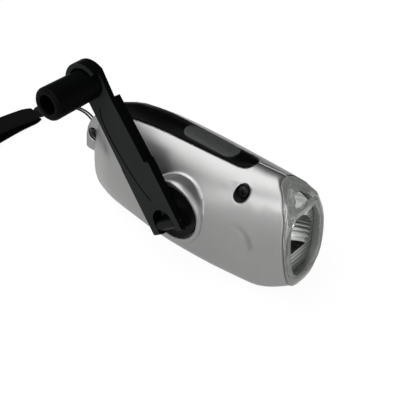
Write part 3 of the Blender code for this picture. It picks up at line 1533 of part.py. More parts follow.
def carry(marker, *names):
    """Hang pieces on a joint's marker without moving them."""
    for name in names:
        piece = bpy.data.objects[name]
        piece.parent = marker
        piece.location = -marker.matrix_world.translation


def build():
    """Model the whole flashlight."""
    for thing in list(bpy.data.objects):
        bpy.data.objects.remove(thing)
    shell = full_shell()
    crank_side_shell(shell)
    far_side_shell(shell)
    top_grip()
    switch_button()
    lens()
    reflector()
    for name, share in zip(("led_upper", "led_middle", "led_lower"), CUP_HEIGHT_SHARES):
        led(name, share * LENS_CREASE_Z)
    boards()
    cells()
    gear_plates()
    gear_train()
    crank_drive()
    alternator()
    crank_hub()
    hinge_pin()
    crank_arm()
    knob_stud()
    crank_knob()
    knob_screw()
    screw_y(
        "shell_screw_front",
        (FRONT_SCREW_X, FRONT_SCREW_Z),
        FRONT_RECESS_FLOOR_Y - FIT,
        FRONT_SCREW_HEAD_RADIUS,
        FRONT_HEAD_THICKNESS,
        FRONT_SCREW_RADIUS,
        FRONT_SCREW_END_Y,
    )
    screw_y(
        "shell_screw_rear",
        (REAR_SCREW_X, REAR_SCREW_Z),
        REAR_RECESS_FLOOR_Y - FIT,
        REAR_SCREW_HEAD_RADIUS,
        REAR_HEAD_THICKNESS,
        REAR_SCREW_RADIUS,
        REAR_SCREW_END_Y,
    )
    strap_cord()
    strap_sleeve()
    strap_webbing()
    crank = axis_empty("crank_axis", HUB_X, 0, HUB_Z)
    carry(crank, "crank_hub", "crank_shaft", "drive_gear", "retaining_clip", "hinge_pin")
    pin_x, pin_z = arm_point(PIN_OFFSET, 0)
    fold = axis_empty("fold_axis", pin_x, PIN_Y, pin_z, crank)
    carry(fold, "crank_arm", "knob_stud", "knob_screw")
    knob = axis_empty("knob_axis", KNOB_CENTRE[0], ARM_OUTER_Y, KNOB_CENTRE[1], fold)
    carry(knob, "crank_knob")
    second = axis_empty("second_axis", SECOND_CENTRE[0], 0, SECOND_CENTRE[1])
    carry(second, "second_gear")
    third = axis_empty("third_axis", THIRD_CENTRE[0], 0, THIRD_CENTRE[1])
    carry(third, "third_gear")
    rotor = axis_empty("rotor_axis", ROTOR_CENTRE[0], 0, ROTOR_CENTRE[1])
    carry(rotor, "rotor_shaft", "rotor_pinion", "rotor_magnet")


build()
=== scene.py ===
"""Dynamo flashlight: the finished look of the torch, its folding crank and its wrist strap.

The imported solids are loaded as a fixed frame. Every visible moulding is formed again on its own solid with
welded, softened edges, the strap gets its twisted cord and woven loop, and every piece gets its finish.
"""

import logging
import math
from dataclasses import dataclass
from enum import Enum
from functools import reduce
from typing import Callable, Iterable, Sequence

import bmesh
import bpy
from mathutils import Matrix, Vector


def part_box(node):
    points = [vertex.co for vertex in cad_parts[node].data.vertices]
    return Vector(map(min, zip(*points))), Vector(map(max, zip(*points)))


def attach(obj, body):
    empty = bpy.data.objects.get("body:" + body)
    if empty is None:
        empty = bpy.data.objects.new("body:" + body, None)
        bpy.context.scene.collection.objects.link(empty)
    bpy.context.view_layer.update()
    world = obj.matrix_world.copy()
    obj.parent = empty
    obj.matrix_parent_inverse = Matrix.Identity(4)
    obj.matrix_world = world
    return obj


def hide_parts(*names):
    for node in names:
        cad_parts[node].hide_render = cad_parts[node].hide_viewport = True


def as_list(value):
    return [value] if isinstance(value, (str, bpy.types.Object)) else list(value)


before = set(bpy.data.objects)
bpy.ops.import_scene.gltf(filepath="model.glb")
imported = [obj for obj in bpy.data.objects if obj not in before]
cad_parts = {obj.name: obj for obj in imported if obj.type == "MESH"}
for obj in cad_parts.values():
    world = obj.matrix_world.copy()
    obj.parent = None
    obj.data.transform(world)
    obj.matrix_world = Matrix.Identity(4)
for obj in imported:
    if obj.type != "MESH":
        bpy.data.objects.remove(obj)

logging.basicConfig(level=logging.INFO, format="%(message)s")
log = logging.getLogger("dynamo_flashlight")

MM = 0.001
TENTH = 0.1 * MM
Colour = tuple[float, float, float]
Point = tuple[float, float, float]
Pair = tuple[float, float]
Circle = tuple[float, float, float]  # x, z and radius of a circle seen from the crank side


class Body(str, Enum):
    """The moving groups that the formed pieces ride on."""

    TORCH = "torch"
    CRANK = "crank"
    ARM = "arm"
    KNOB = "knob"
    BUTTON = "button"


class Blend(str, Enum):
    """How two colours are laid over each other."""

    MIX = "MIX"
    MULTIPLY = "MULTIPLY"


class Ray(str, Enum):
    """The kinds of rays that the floor and the room tell apart."""

    CAMERA = "Is Camera Ray"
    MIRRORED = "Is Glossy Ray"
    BENT = "Is Transmission Ray"


# ---- Shader graphs ----


class Link:
    """One output socket of a shader graph, on which plain arithmetic adds Math nodes."""

    def __init__(self, graph: "Graph", socket: bpy.types.NodeSocket) -> None:
        """Keep the graph and the socket that this link stands for."""
        self.graph = graph
        self.socket = socket

    def math(self, operation: str, *values: "Link | float") -> "Link":
        """Add a Math node that starts from this value and takes the others after it."""
        return self.graph.maths(operation, self, *values)

    def __add__(self, other: "Link | float") -> "Link":
        """Return the sum."""
        return self.math("ADD", other)

    __radd__ = __add__

    def __sub__(self, other: "Link | float") -> "Link":
        """Return the difference."""
        return self.math("SUBTRACT", other)

    def __rsub__(self, other: float) -> "Link":
        """Return a number less this value."""
        return self.graph.maths("SUBTRACT", other, self)

    def __mul__(self, other: "Link | float") -> "Link":
        """Return the product."""
        return self.math("MULTIPLY", other)

    __rmul__ = __mul__

    def __pow__(self, other: float) -> "Link":
        """Return this value raised to a power."""
        return self.math("POWER", other)

    def sine(self) -> "Link":
        """Return the sine of this value."""
        return self.math("SINE")

    def size(self) -> "Link":
        """Return the value without its sign."""
        return self.math("ABSOLUTE")

    def most(self, other: "Link | float") -> "Link":
        """Return the larger of the two."""
        return self.math("MAXIMUM", other)

    def ramp(self, low: float, high: float, start: float = 0.0, end: float = 1.0) -> "Link":
        """Lead smoothly from start, where this value is low, to end, where it is high."""
        values = {"Value": self, "From Min": low, "From Max": high, "To Min": start, "To Max": end}
        return self.graph.node("ShaderNodeMapRange", {"interpolation_type": "SMOOTHSTEP"}, values)


FACE_LIKENESS = 0.995
EDGE_LIKENESS = 0.90


def length_of(across: Link, upward: Link) -> Link:
    """Return the length of a way from its two parts."""
    return (across * across + upward * upward) ** 0.5


class Graph:
    """One material, or the world, and its nodes."""

    def __init__(self, name: str, of_world: bool = False) -> None:
        """Start with the empty tree of a new material, or of a new world."""
        self.material = bpy.data.worlds.new(name) if of_world else bpy.data.materials.new(name)
        self.material.use_nodes = True
        self.tree = self.material.node_tree
        self.tree.nodes.clear()
        self.places: dict[str, Link] = {}

    def node(
        self, kind: str, settings: dict | None = None, values: dict | None = None, out: int | str = 0
    ) -> Link:
        """Add one node.

        Args:
            kind: The node's type.
            settings: Its settings, such as a Math node's operation, set before its values.
            values: Values or links for its input sockets, by name or number.
            out: The output that is wanted.

        Returns:
            That output, or the first input of a node that has no output.
        """
        made = self.tree.nodes.new(kind)
        for key, value in (settings or {}).items():
            setattr(made, key, value)
        for key, value in (values or {}).items():
            socket = made.inputs[key]
            if isinstance(value, Link):
                self.tree.links.new(value.socket, socket)
            elif isinstance(value, (tuple, list)) and socket.type == "RGBA":
                socket.default_value = (*value[:3], 1.0)
            else:
                socket.default_value = value
        return Link(self, made.outputs[out]) if len(made.outputs) else Link(self, made.inputs[0])

    def maths(self, operation: str, *values: "Link | float") -> Link:
        """Add a Math node over the given operands."""
        return self.node("ShaderNodeMath", {"operation": operation}, dict(enumerate(values)))

    def vector(self, operation: str, *values: "Link | Point", out: int | str = 0) -> Link:
        """Add a Vector Math node over the given operands."""
        return self.node("ShaderNodeVectorMath", {"operation": operation}, dict(enumerate(values)), out)

    def mix(
        self, share: "Link | float", under: "Link | Colour", over: "Link | Colour", blend: Blend = Blend.MIX
    ) -> Link:
        """Lay a share of one colour over another."""
        settings = {"data_type": "RGBA", "blend_type": blend.value, "clamp_factor": True}
        return self.node("ShaderNodeMix", settings, {0: share, 6: under, 7: over}, 2)

    def toned(self, colour: Colour, tone: Link) -> Link:
        """Return a colour multiplied by a tone that changes from place to place."""
        grey = self.node("ShaderNodeCombineColor", None, {0: tone, 1: tone, 2: tone})
        return self.mix(1.0, colour, grey, Blend.MULTIPLY)

    def place(self, axis: str = "") -> Link:
        """Return the surface point in the piece's own frame, or one of its coordinates.

        Args:
            axis: "X", "Y" or "Z", or nothing for the whole point.

        Returns:
            The point or the coordinate, in metres.
        """
        if "" not in self.places:
            self.places[""] = self.node("ShaderNodeTexCoord", out="Object")
        if axis and axis not in self.places:
            for name in ("X", "Y", "Z"):
                self.places[name] = self.node("ShaderNodeSeparateXYZ", None, {0: self.places[""]}, name)
        return self.places[axis]

    def noise(self, size: float, detail: float = 3.0, stretch: Point = (1, 1, 1), rough: float = 0.5) -> Link:
        """Add fractal noise.

        Args:
            size: Width of its largest blots, in metres.
            detail: Number of finer layers.
            stretch: How much the blots are shortened along each axis.
            rough: Strength of the finer layers.

        Returns:
            Values around one half.
        """
        place = self.vector("MULTIPLY", self.place(), stretch)
        values = {"Vector": place, "Scale": 1 / size, "Detail": detail, "Roughness": rough}
        return self.node("ShaderNodeTexNoise", None, values, "Fac")

    def cells(self, size: float, out: str = "Distance") -> Link:
        """Add a cell pattern whose cells are size metres wide."""
        return self.node("ShaderNodeTexVoronoi", None, {"Vector": self.place(), "Scale": 1 / size}, out)

    def ray(self, kind: Ray) -> Link:
        """Return 1 for rays of one kind and 0 for all others."""
        return self.node("ShaderNodeLightPath", out=kind.value)

    def seen(self, straight: float, mirrored: float, bent: float) -> Link:
        """Return the share of plain white that a ray meets, by its kind."""
        seen = (self.ray(Ray.CAMERA) * straight).most(self.ray(Ray.MIRRORED) * mirrored)
        return seen.most(self.ray(Ray.BENT) * bent)

    def wear(self, radius: float) -> Link:
        """Return 1 on convex edges and 0 on open faces, over the given radius in metres."""
        rounded = self.node("ShaderNodeBevel", {"samples": 6}, {"Radius": radius})
        plain = self.node("ShaderNodeNewGeometry", out="Normal")
        return self.vector("DOT_PRODUCT", rounded, plain, out="Value").ramp(FACE_LIKENESS, EDGE_LIKENESS)

    def bump(self, height: Link, depth: float, strength: float = 1.0, normal: Link | None = None) -> Link:
        """Turn a height into a normal.

        Args:
            height: Height as a share of the depth.
            depth: Height of a full step, in metres.
            strength: Share of the effect.
            normal: A normal to start from.

        Returns:
            The bumped normal.
        """
        values: dict = {"Height": height, "Distance": depth, "Strength": strength}
        if normal is not None:
            values["Normal"] = normal
        return self.node("ShaderNodeBump", None, values)

    def surface(self, **values: "Link | Colour | float") -> bpy.types.Material:
        """Close the graph with a principled surface.

        Args:
            values: Its sockets, with spaces in their names written as underscores.

        Returns:
            The finished material.
        """
        named = {key.replace("_", " "): value for key, value in values.items()}
        shader = self.node("ShaderNodeBsdfPrincipled", None, named)
        self.node("ShaderNodeOutputMaterial", None, {"Surface": shader})
        return self.material


# ---- Finishes ----


def scaled(colour: Colour, factor: float, limit: float = 1.0) -> Colour:
    """Return a colour multiplied by a factor, each part of it up to a limit."""
    return tuple(min(limit, factor * part) for part in colour)


@dataclass(frozen=True)
class Finish:
    """A surface finish. Each kind makes its own material once."""

    name: str

    def material(self) -> bpy.types.Material:
        """Return the finish's material, made on first use."""
        return bpy.data.materials.get(self.name) or self.make(Graph(self.name))

    def make(self, graph: Graph) -> bpy.types.Material:
        """Fill the graph. Each kind of finish does this in its own way."""
        raise NotImplementedError


@dataclass(frozen=True)
class MetallicPaint(Finish):
    """Satin paint with fine metal flakes over moulded plastic."""

    colour: Colour
    rubbed: Colour = (0.62, 0.62, 0.63)
    # Near-black colour laid inside the screw wells as painted shade.
    plastic: Colour = (0.006, 0.007, 0.0065)
    shine: float = 0.31
    flake: float = 0.00016
    flake_height: float = 0.000004
    peel: float = 0.0011
    peel_height: float = 0.000006
    fillet: float = 0.0013
    furrow: Circle = (0.0252, 0.0225, 0.0115)
    furrow_half_width: float = 0.0022
    furrow_depth: float = 0.00050
    # Share of the colour left at the furrow's bottom, as painted shade.
    furrow_painted_shade: float = 0.35
    wells: tuple[Circle, ...] = ((0.0255, 0.0454, 0.00345), (-0.0642, 0.0280, 0.00345))

    def make(self, graph: Graph) -> bpy.types.Material:
        """Lay flakes, cloudy thickness, rubbed edges, one shallow furrow with painted shade in it, and screw
        wells coloured near black as painted shade.
        """
        sparkle = graph.node("ShaderNodeSeparateColor", None, {0: graph.cells(self.flake, "Color")}, 0)
        cloud = graph.noise(0.018, 2.0)
        streak = graph.noise(0.0022, 4.0, (0.08, 1, 1))
        tone = 0.88 + 0.10 * sparkle + 0.10 * (cloud - 0.5) + 0.06 * (streak - 0.5)
        base = graph.mix(0.35 * graph.wear(0.0005), graph.toned(self.colour, tone), self.rubbed)
        gloss = self.shine + 0.06 * (cloud - 0.5) + 0.05 * (streak - 0.5) + 0.04 * sparkle
        soft = graph.node("ShaderNodeBevel", {"samples": 8}, {"Radius": self.fillet})
        normal = graph.bump(sparkle, self.flake_height, 0.35, soft)
        normal = graph.bump(graph.noise(self.peel, 2.0), self.peel_height, 0.5, normal)
        sunk = self.hollow(graph)
        normal = graph.bump(1 - sunk, self.furrow_depth, 1.0, normal)
        # Painted shade: the furrow's colour is darkened where it is deepest.
        base = graph.mix(self.furrow_painted_shade * sunk, base, scaled(self.colour, self.furrow_painted_shade))
        # Painted shade: the screw wells are coloured near black, duller and less metallic.
        bare = self.painted_shade_in_wells(graph)
        return graph.surface(
            Base_Color=graph.mix(bare, base, self.plastic),
            Metallic=0.90 - 0.85 * bare,
            Roughness=gloss + 0.15 * bare,
            Normal=normal,
        )

    def hollow(self, graph: Graph) -> Link:
        """Return how deep the bowed furrow on the crank side is, deepest towards its lower end; this also
        sets its painted shade.
        """
        x, z, radius = self.furrow
        across = graph.place("X") - x
        upward = graph.place("Z") - z
        trough = (length_of(across, upward) - radius).size().ramp(self.furrow_half_width, 0.0)
        along = 0.81 * across - 0.59 * upward
        ends = along.ramp(-0.0070, 0.0040) * along.ramp(0.0092, 0.0066)
        return trough * ends * graph.place("Y").ramp(-0.004, -0.009) * upward.ramp(-0.001, 0.001)

    def painted_shade_in_wells(self, graph: Graph) -> Link:
        """Return 1 inside the screw wells, which are coloured near black as painted shade."""
        found = []
        for x, z, radius in self.wells:
            reach = length_of(graph.place("X") - x, graph.place("Z") - z)
            found.append(reach.ramp(radius, radius - TENTH) * graph.place("Y").ramp(0.0, -MM))
        return reduce(Link.most, found)


@dataclass(frozen=True)
class MouldedPlastic(Finish):
    """Injection-moulded plastic or rubber with a spark-eroded or polished skin."""

    colour: Colour
    shine: float = 0.4
    grain: float = 0.00035
    grain_depth: float = 0.000012
    worn: Colour = (0.10, 0.10, 0.10)
    wear_share: float = 0.35
    smear: float = 0.10
    mirror: float = 0.32

    def make(self, graph: Graph) -> bpy.types.Material:
        """Lay the mould's grain, faint scuffs and rubbed edges."""
        grain = graph.noise(self.grain, 2.0)
        pits = graph.cells(self.grain * 1.6)
        cloud = graph.noise(0.009, 3.0)
        scuffs = graph.noise(0.004, 5.0, (0.25, 1, 1), 0.7).ramp(0.60, 0.74)
        edge = graph.wear(0.00035)
        base = graph.toned(self.colour, 0.80 + 0.25 * cloud + 0.15 * grain)
        base = graph.mix(self.wear_share * edge + 0.10 * scuffs, base, self.worn)
        gloss = self.shine + self.smear * (cloud - 0.5) + 0.12 * scuffs - 0.06 * edge + 0.06 * (grain - 0.5)
        normal = graph.bump(grain + 0.6 * pits, self.grain_depth, 0.8)
        return graph.surface(Base_Color=base, Roughness=gloss, Normal=normal, Specular_IOR_Level=self.mirror)


@dataclass(frozen=True)
class CrankPlastic(MouldedPlastic):
    """Black plastic whose broad faces are textured and coloured lighter as painted light, and whose narrow
    sides stay smooth and dark.
    """

    # Lighter colour of the broad faces, painted light.
    face: Colour = (0.0205, 0.0245, 0.0222)

    def make(self, graph: Graph) -> bpy.types.Material:
        """Lay the face texture and the lighter painted-light colour where the surface looks along the crank's
        axis.
        """
        facing = graph.node("ShaderNodeTexCoord", out="Normal")
        across = graph.node("ShaderNodeSeparateXYZ", None, {0: facing}, "Y").size().ramp(0.75, 0.97)
        grain = graph.noise(self.grain, 2.0)
        cloud = graph.noise(0.011, 3.0)
        scuffs = graph.noise(0.004, 5.0, (0.3, 1, 1), 0.7).ramp(0.60, 0.76)
        edge = graph.wear(0.0004)
        # Painted light: faces looking along the crank's axis get the lighter face colour.
        base = graph.mix(across * (0.75 + 0.5 * cloud), self.colour, self.face)
        base = graph.mix(self.wear_share * edge + 0.08 * scuffs, base, self.worn)
        gloss = self.shine + 0.08 * across + self.smear * (cloud - 0.5) + 0.10 * scuffs
        normal = graph.bump(grain + 0.5 * graph.cells(self.grain * 1.7), self.grain_depth, 0.8)
        return graph.surface(Base_Color=base, Roughness=gloss, Normal=normal, Specular_IOR_Level=self.mirror)


@dataclass(frozen=True)
class StippledRubber(Finish):
    """Soft rubber with raised pips for the thumb."""

    colour: Colour
    pitch: float = 0.00115
    height: float = 0.00007

    def make(self, graph: Graph) -> bpy.types.Material:
        """Lay pips over the upper face, with painted shade darkening the colour between them."""
        raised = graph.cells(self.pitch).ramp(0.50, 0.18)
        cloud = graph.noise(0.004, 3.0)
        fine = graph.noise(0.00018, 2.0)
        return graph.surface(
            # Painted shade: the colour is darker between the raised pips.
            Base_Color=graph.toned(self.colour, 0.72 + 0.30 * raised + 0.20 * (cloud - 0.5)),
            Roughness=0.62 - 0.12 * raised + 0.10 * (cloud - 0.5),
            Normal=graph.bump(raised + 0.2 * fine, self.height, 0.7),
        )


@dataclass(frozen=True)
class ClearMoulding(Finish):
    """Clear moulded plastic, slightly rippled inside and finely scratched outside."""

    tint: Colour = (0.66, 0.68, 0.655)
    dusty: Colour = (0.50, 0.52, 0.50)
    bend: float = 1.46
    clearness: float = 0.78
    ripple: float = 0.0002

    def make(self, graph: Graph) -> bpy.types.Material:
        """Lay flow ripples, hairline scratches and a little dust."""
        hair = graph.noise(0.0009, 5.0, (1, 0.15, 1), 0.7).ramp(0.66, 0.76)
        dust = graph.noise(0.0004, 3.0).ramp(0.68, 0.80)
        return graph.surface(
            Base_Color=graph.mix(0.25 * dust, self.tint, self.dusty),
            Roughness=0.05 + 0.12 * hair + 0.10 * dust,
            Normal=graph.bump(graph.noise(0.006, 2.0), self.ripple, 0.5),
            Transmission_Weight=self.clearness,
            IOR=self.bend,
        )


@dataclass(frozen=True)
class VacuumChrome(Finish):
    """Bright metal film on a moulded part."""

    colour: Colour = (0.60, 0.615, 0.60)
    thinned: Colour = (0.36, 0.37, 0.355)
    shine: float = 0.36
    rib: float = 0.0021
    rib_height: float = 0.00022
    peel_height: float = 0.00003

    def make(self, graph: Graph) -> bpy.types.Material:
        """Lay level ribs, orange peel, a slight haze and thin spots in the film."""
        haze = graph.noise(0.007, 3.0)
        thin = graph.noise(0.0030, 4.0).ramp(0.62, 0.75)
        wander = 0.0003 * graph.noise(0.004, 2.0)
        ribs = ((graph.place("Z") + wander) * (math.tau / self.rib)).sine() * 0.5 + 0.5
        base = graph.mix(0.3 * thin, self.colour, self.thinned)
        gloss = self.shine + 0.12 * (haze - 0.4).most(0.0) + 0.10 * thin - 0.26 * ribs.ramp(0.90, 1.0)
        normal = graph.bump(graph.noise(0.0016, 2.0), self.peel_height, 0.7)
        normal = graph.bump(ribs, self.rib_height, 0.8, normal)
        return graph.surface(Base_Color=base, Metallic=1.0, Roughness=gloss, Normal=normal)


@dataclass(frozen=True)
class LampResin(Finish):
    """Cast clear resin of a lamp, with its meniscus haze."""

    tint: Colour = (0.95, 0.96, 0.94)
    hazy: Colour = (0.85, 0.88, 0.80)
    flow: float = 0.00004

    def make(self, graph: Graph) -> bpy.types.Material:
        """Lay a casting haze over the clear body."""
        haze = graph.noise(0.0012, 3.0)
        return graph.surface(
            Base_Color=graph.mix(0.3 * haze, self.tint, self.hazy),
            Roughness=0.03 + 0.10 * haze,
            Normal=graph.bump(graph.noise(0.0030, 2.0), self.flow, 0.5),
            Transmission_Weight=0.92,
            IOR=1.53,
        )


@dataclass(frozen=True)
class Phosphor(Finish):
    """The pale yellow die cup inside a white lamp."""

    colour: Colour = (0.80, 0.72, 0.20)
    deep: Colour = (0.62, 0.50, 0.10)
    height: float = 0.00003

    def make(self, graph: Graph) -> bpy.types.Material:
        """Lay a grainy phosphor blob."""
        grain = graph.noise(0.00015, 3.0)
        return graph.surface(
            Base_Color=graph.mix(grain, self.colour, self.deep),
            Roughness=0.55 + 0.2 * grain,
            Normal=graph.bump(grain, self.height),
        )


@dataclass(frozen=True)
class TurnedMetal(Finish):
    """Plated or turned metal with fine tool marks across the crank's axis."""

    colour: Colour
    shine: float = 0.28
    mark_height: float = 0.000012

    def make(self, graph: Graph) -> bpy.types.Material:
        """Lay tool marks, tarnish and bright edges."""
        marks = graph.noise(0.00022, 3.0, (1, 0.2, 1))
        stain = graph.noise(0.0024, 4.0)
        base = graph.mix(stain.ramp(0.45, 0.75), self.colour, scaled(self.colour, 0.62))
        base = graph.mix(0.5 * graph.wear(0.00025), base, scaled(self.colour, 1.6, 0.88))
        return graph.surface(
            Base_Color=base,
            Metallic=0.95,
            Roughness=self.shine + 0.18 * (marks - 0.5) + 0.15 * (stain - 0.5),
            Normal=graph.bump(marks, self.mark_height, 0.6),
        )


@dataclass(frozen=True)
class CircuitBoard(Finish):
    """Green solder mask over copper tracks."""

    mask: Colour = (0.012, 0.11, 0.035)
    track: Colour = (0.03, 0.20, 0.06)
    glass: Colour = (0.02, 0.16, 0.05)
    tin: Colour = (0.62, 0.60, 0.56)
    grid: float = 520
    height: float = 0.00003

    def make(self, graph: Graph) -> bpy.types.Material:
        """Lay tracks under the mask, with glass weave and bare pads."""
        where = graph.vector("MULTIPLY", graph.place(), (self.grid,) * 3)
        bricks = {"Vector": where, "Scale": 1.0, "Mortar Size": 0.10}
        run = graph.node("ShaderNodeTexBrick", {"offset": 0.35}, bricks, "Fac")
        weave = graph.noise(0.0006, 2.0)
        pads = graph.cells(0.0034).ramp(0.16, 0.10)
        base = graph.mix(run, self.mask, self.track)
        base = graph.mix(0.3 * weave, base, self.glass)
        return graph.surface(
            Base_Color=graph.mix(pads, base, self.tin),
            Metallic=0.8 * pads,
            Roughness=0.30 + 0.15 * weave,
            Normal=graph.bump(run + 0.6 * pads + 0.2 * weave, self.height),
        )


@dataclass(frozen=True)
class WoundCopper(Finish):
    """Lacquered copper wire in close turns round the rotor's axis."""

    colour: Colour = (0.62, 0.25, 0.09)
    groove_shade_and_stain: Colour = (0.20, 0.06, 0.02)
    wire: float = 0.00022

    def make(self, graph: Graph) -> bpy.types.Material:
        """Lay the turns of wire along the axis, with painted shade in the grooves between them."""
        along = graph.place("Y") + 0.0004 * graph.noise(0.003, 2.0)
        turns = (along * (math.tau / self.wire)).sine() * 0.5 + 0.5
        stain = graph.noise(0.0015, 3.0)
        return graph.surface(
            # Painted shade: the grooves between the turns are darkened; random stains darken towards the same
            # colour.
            Base_Color=graph.mix(0.55 * (1 - turns) + 0.3 * stain, self.colour, self.groove_shade_and_stain),
            Metallic=0.75,
            Roughness=0.28 + 0.2 * stain,
            Normal=graph.bump(turns, self.wire / 3),
        )


@dataclass(frozen=True)
class WovenBand(Finish):
    """Plain-woven black polyester band, its ribs running across the loop."""

    colour: Colour = (0.0026, 0.0031, 0.0028)
    pitch: float = 0.0011
    height: float = 0.00010

    def make(self, graph: Graph) -> bpy.types.Material:
        """Lay warp and weft as two crossing waves, with fuzz and painted shade where the threads dip."""
        warp = (graph.place("X") * (math.tau / self.pitch)).sine()
        weft = (graph.place("Y") * (math.tau / (self.pitch * 0.8))).sine()
        over = (warp * weft) * 0.5 + 0.5
        fuzz = graph.noise(0.00016, 4.0)
        # Painted shade: the colour is darker where the threads dip under each other.
        base = graph.mix(over * 0.8 + 0.3 * (fuzz - 0.5), scaled(self.colour, 0.35), self.colour)
        return graph.surface(
            Base_Color=base,
            Roughness=0.72 + 0.15 * fuzz,
            Normal=graph.bump(over + 0.3 * fuzz, self.height, 0.8),
            Specular_IOR_Level=0.10,
        )


@dataclass(frozen=True)
class TwistedYarn(Finish):
    """Black polyester yarn of the thin cord."""

    colour: Colour = (0.0040, 0.0045, 0.0042)
    dusty: Colour = (0.03, 0.03, 0.03)
    height: float = 0.00003

    def make(self, graph: Graph) -> bpy.types.Material:
        """Lay fibres and fuzz over the plies."""
        fibre = graph.noise(0.00012, 4.0, (1, 1, 0.5))
        dust = graph.noise(0.0010, 3.0)
        base = graph.mix(fibre, scaled(self.colour, 0.45), self.colour)
        base = graph.mix(0.08 * dust, base, self.dusty)
        return graph.surface(
            Base_Color=base,
            Roughness=0.66 + 0.2 * fibre,
            Normal=graph.bump(fibre, self.height, 0.7),
            Specular_IOR_Level=0.12,
        )


SILVER = MetallicPaint("satin_silver_paint", (0.355, 0.353, 0.352))
GLOSS_BLACK = MouldedPlastic(
    "gloss_black_trim",
    (0.0016, 0.0019, 0.0017),
    shine=0.30,
    grain=0.0006,
    grain_depth=0.000003,
    mirror=0.04,
    worn=(0.008, 0.009, 0.0085),
    wear_share=0.2,
)
SATIN_BLACK = MouldedPlastic(
    "satin_black_plastic", (0.0035, 0.0042, 0.0038), shine=0.50, worn=(0.012, 0.014, 0.013), mirror=0.10
)
CRANK_BLACK = CrankPlastic(
    "crank_black_plastic",
    (0.0016, 0.0021, 0.0018),
    shine=0.44,
    worn=(0.010, 0.012, 0.011),
    mirror=0.03,
    wear_share=0.2,
)
KNOB_BLACK = MouldedPlastic(
    "knob_black_plastic", (0.0010, 0.0014, 0.0012), shine=0.50, worn=(0.006, 0.007, 0.006), mirror=0.04
)
GREY_RUBBER = StippledRubber("grey_button_rubber", (0.040, 0.046, 0.044))
CLEAR = ClearMoulding("clear_nose_plastic")
CHROME = VacuumChrome("bright_bowl_chrome")
RESIN = LampResin("lamp_resin")
PHOSPHOR = Phosphor("lamp_phosphor")
STEEL = TurnedMetal("plated_steel", (0.50, 0.50, 0.49))
DARK_STEEL = TurnedMetal("blackened_steel", (0.026, 0.028, 0.027), shine=0.46)
BRASS = TurnedMetal("turned_brass", (0.62, 0.44, 0.17))
NYLON = MouldedPlastic(
    "white_nylon", (0.66, 0.65, 0.60), shine=0.48, grain=0.0005, worn=(0.55, 0.54, 0.48), wear_share=0.2
)
BOARD = CircuitBoard("green_board")
COPPER = WoundCopper("copper_wire")
FERRITE = MouldedPlastic("dark_ferrite", (0.018, 0.018, 0.020), shine=0.5, grain=0.00025, grain_depth=0.00002)
BAND = WovenBand("black_woven_band")
YARN = TwistedYarn("black_twisted_yarn")


# ---- Making pieces ----


WELD = 0.02 * TENTH
LEVEL = math.radians(0.25)
SHARP = math.radians(48)


def stand(name: str, data: bpy.types.ID | None) -> bpy.types.Object:
    """Make an object from its data and put it into the scene."""
    made = bpy.data.objects.new(name, data)
    bpy.context.scene.collection.objects.link(made)
    return made


def add_piece(name: str, mesh: bpy.types.Mesh, finish: Finish, body: Body) -> bpy.types.Object:
    """Put a mesh into the scene as a piece of the flashlight.

    Args:
        name: The piece's name.
        mesh: Its mesh, in the part's frame.
        finish: Its finish.
        body: The moving group that it rides on.

    Returns:
        The new object.
    """
    piece = stand(name, mesh)
    mesh.materials.append(finish.material())
    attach(piece, body.value)
    log.info("%s: %d faces on %s", name, len(mesh.polygons), body.value)
    return piece


def ring(
    centre: Vector, side: Vector, up: Vector, steps: int, reach: Callable[[float], float] = lambda angle: 1.0
) -> list[Point]:
    """Set points round a centre, from its side way by its up way, as far as reach says at each angle."""
    angles = [math.tau * step / steps for step in range(steps)]
    return [tuple(centre + (side * math.cos(a) + up * math.sin(a)) * reach(a)) for a in angles]


def add_skin(name: str, rings: Sequence[Sequence[Point]], finish: Finish) -> bpy.types.Object:
    """Skin a row of equal rings with flat caps, as a smooth piece that rides on the torch.

    Args:
        name: The piece's name.
        rings: Rings of points.
        finish: Its finish.

    Returns:
        The new object.
    """
    shape = bmesh.new()
    rows = [[shape.verts.new(point) for point in points] for points in rings]
    count = len(rows[0])
    for lower, upper in zip(rows, rows[1:]):
        for step in range(count):
            follow = (step + 1) % count
            shape.faces.new((lower[step], lower[follow], upper[follow], upper[step]))
    shape.faces.new(rows[0][::-1])
    shape.faces.new(rows[-1])
    bmesh.ops.recalc_face_normals(shape, faces=shape.faces)
    for face in shape.faces:
        face.smooth = len(face.verts) <= 4
    mesh = bpy.data.meshes.new(name)
    shape.to_mesh(mesh)
    shape.free()
    return add_piece(name, mesh, finish, Body.TORCH)


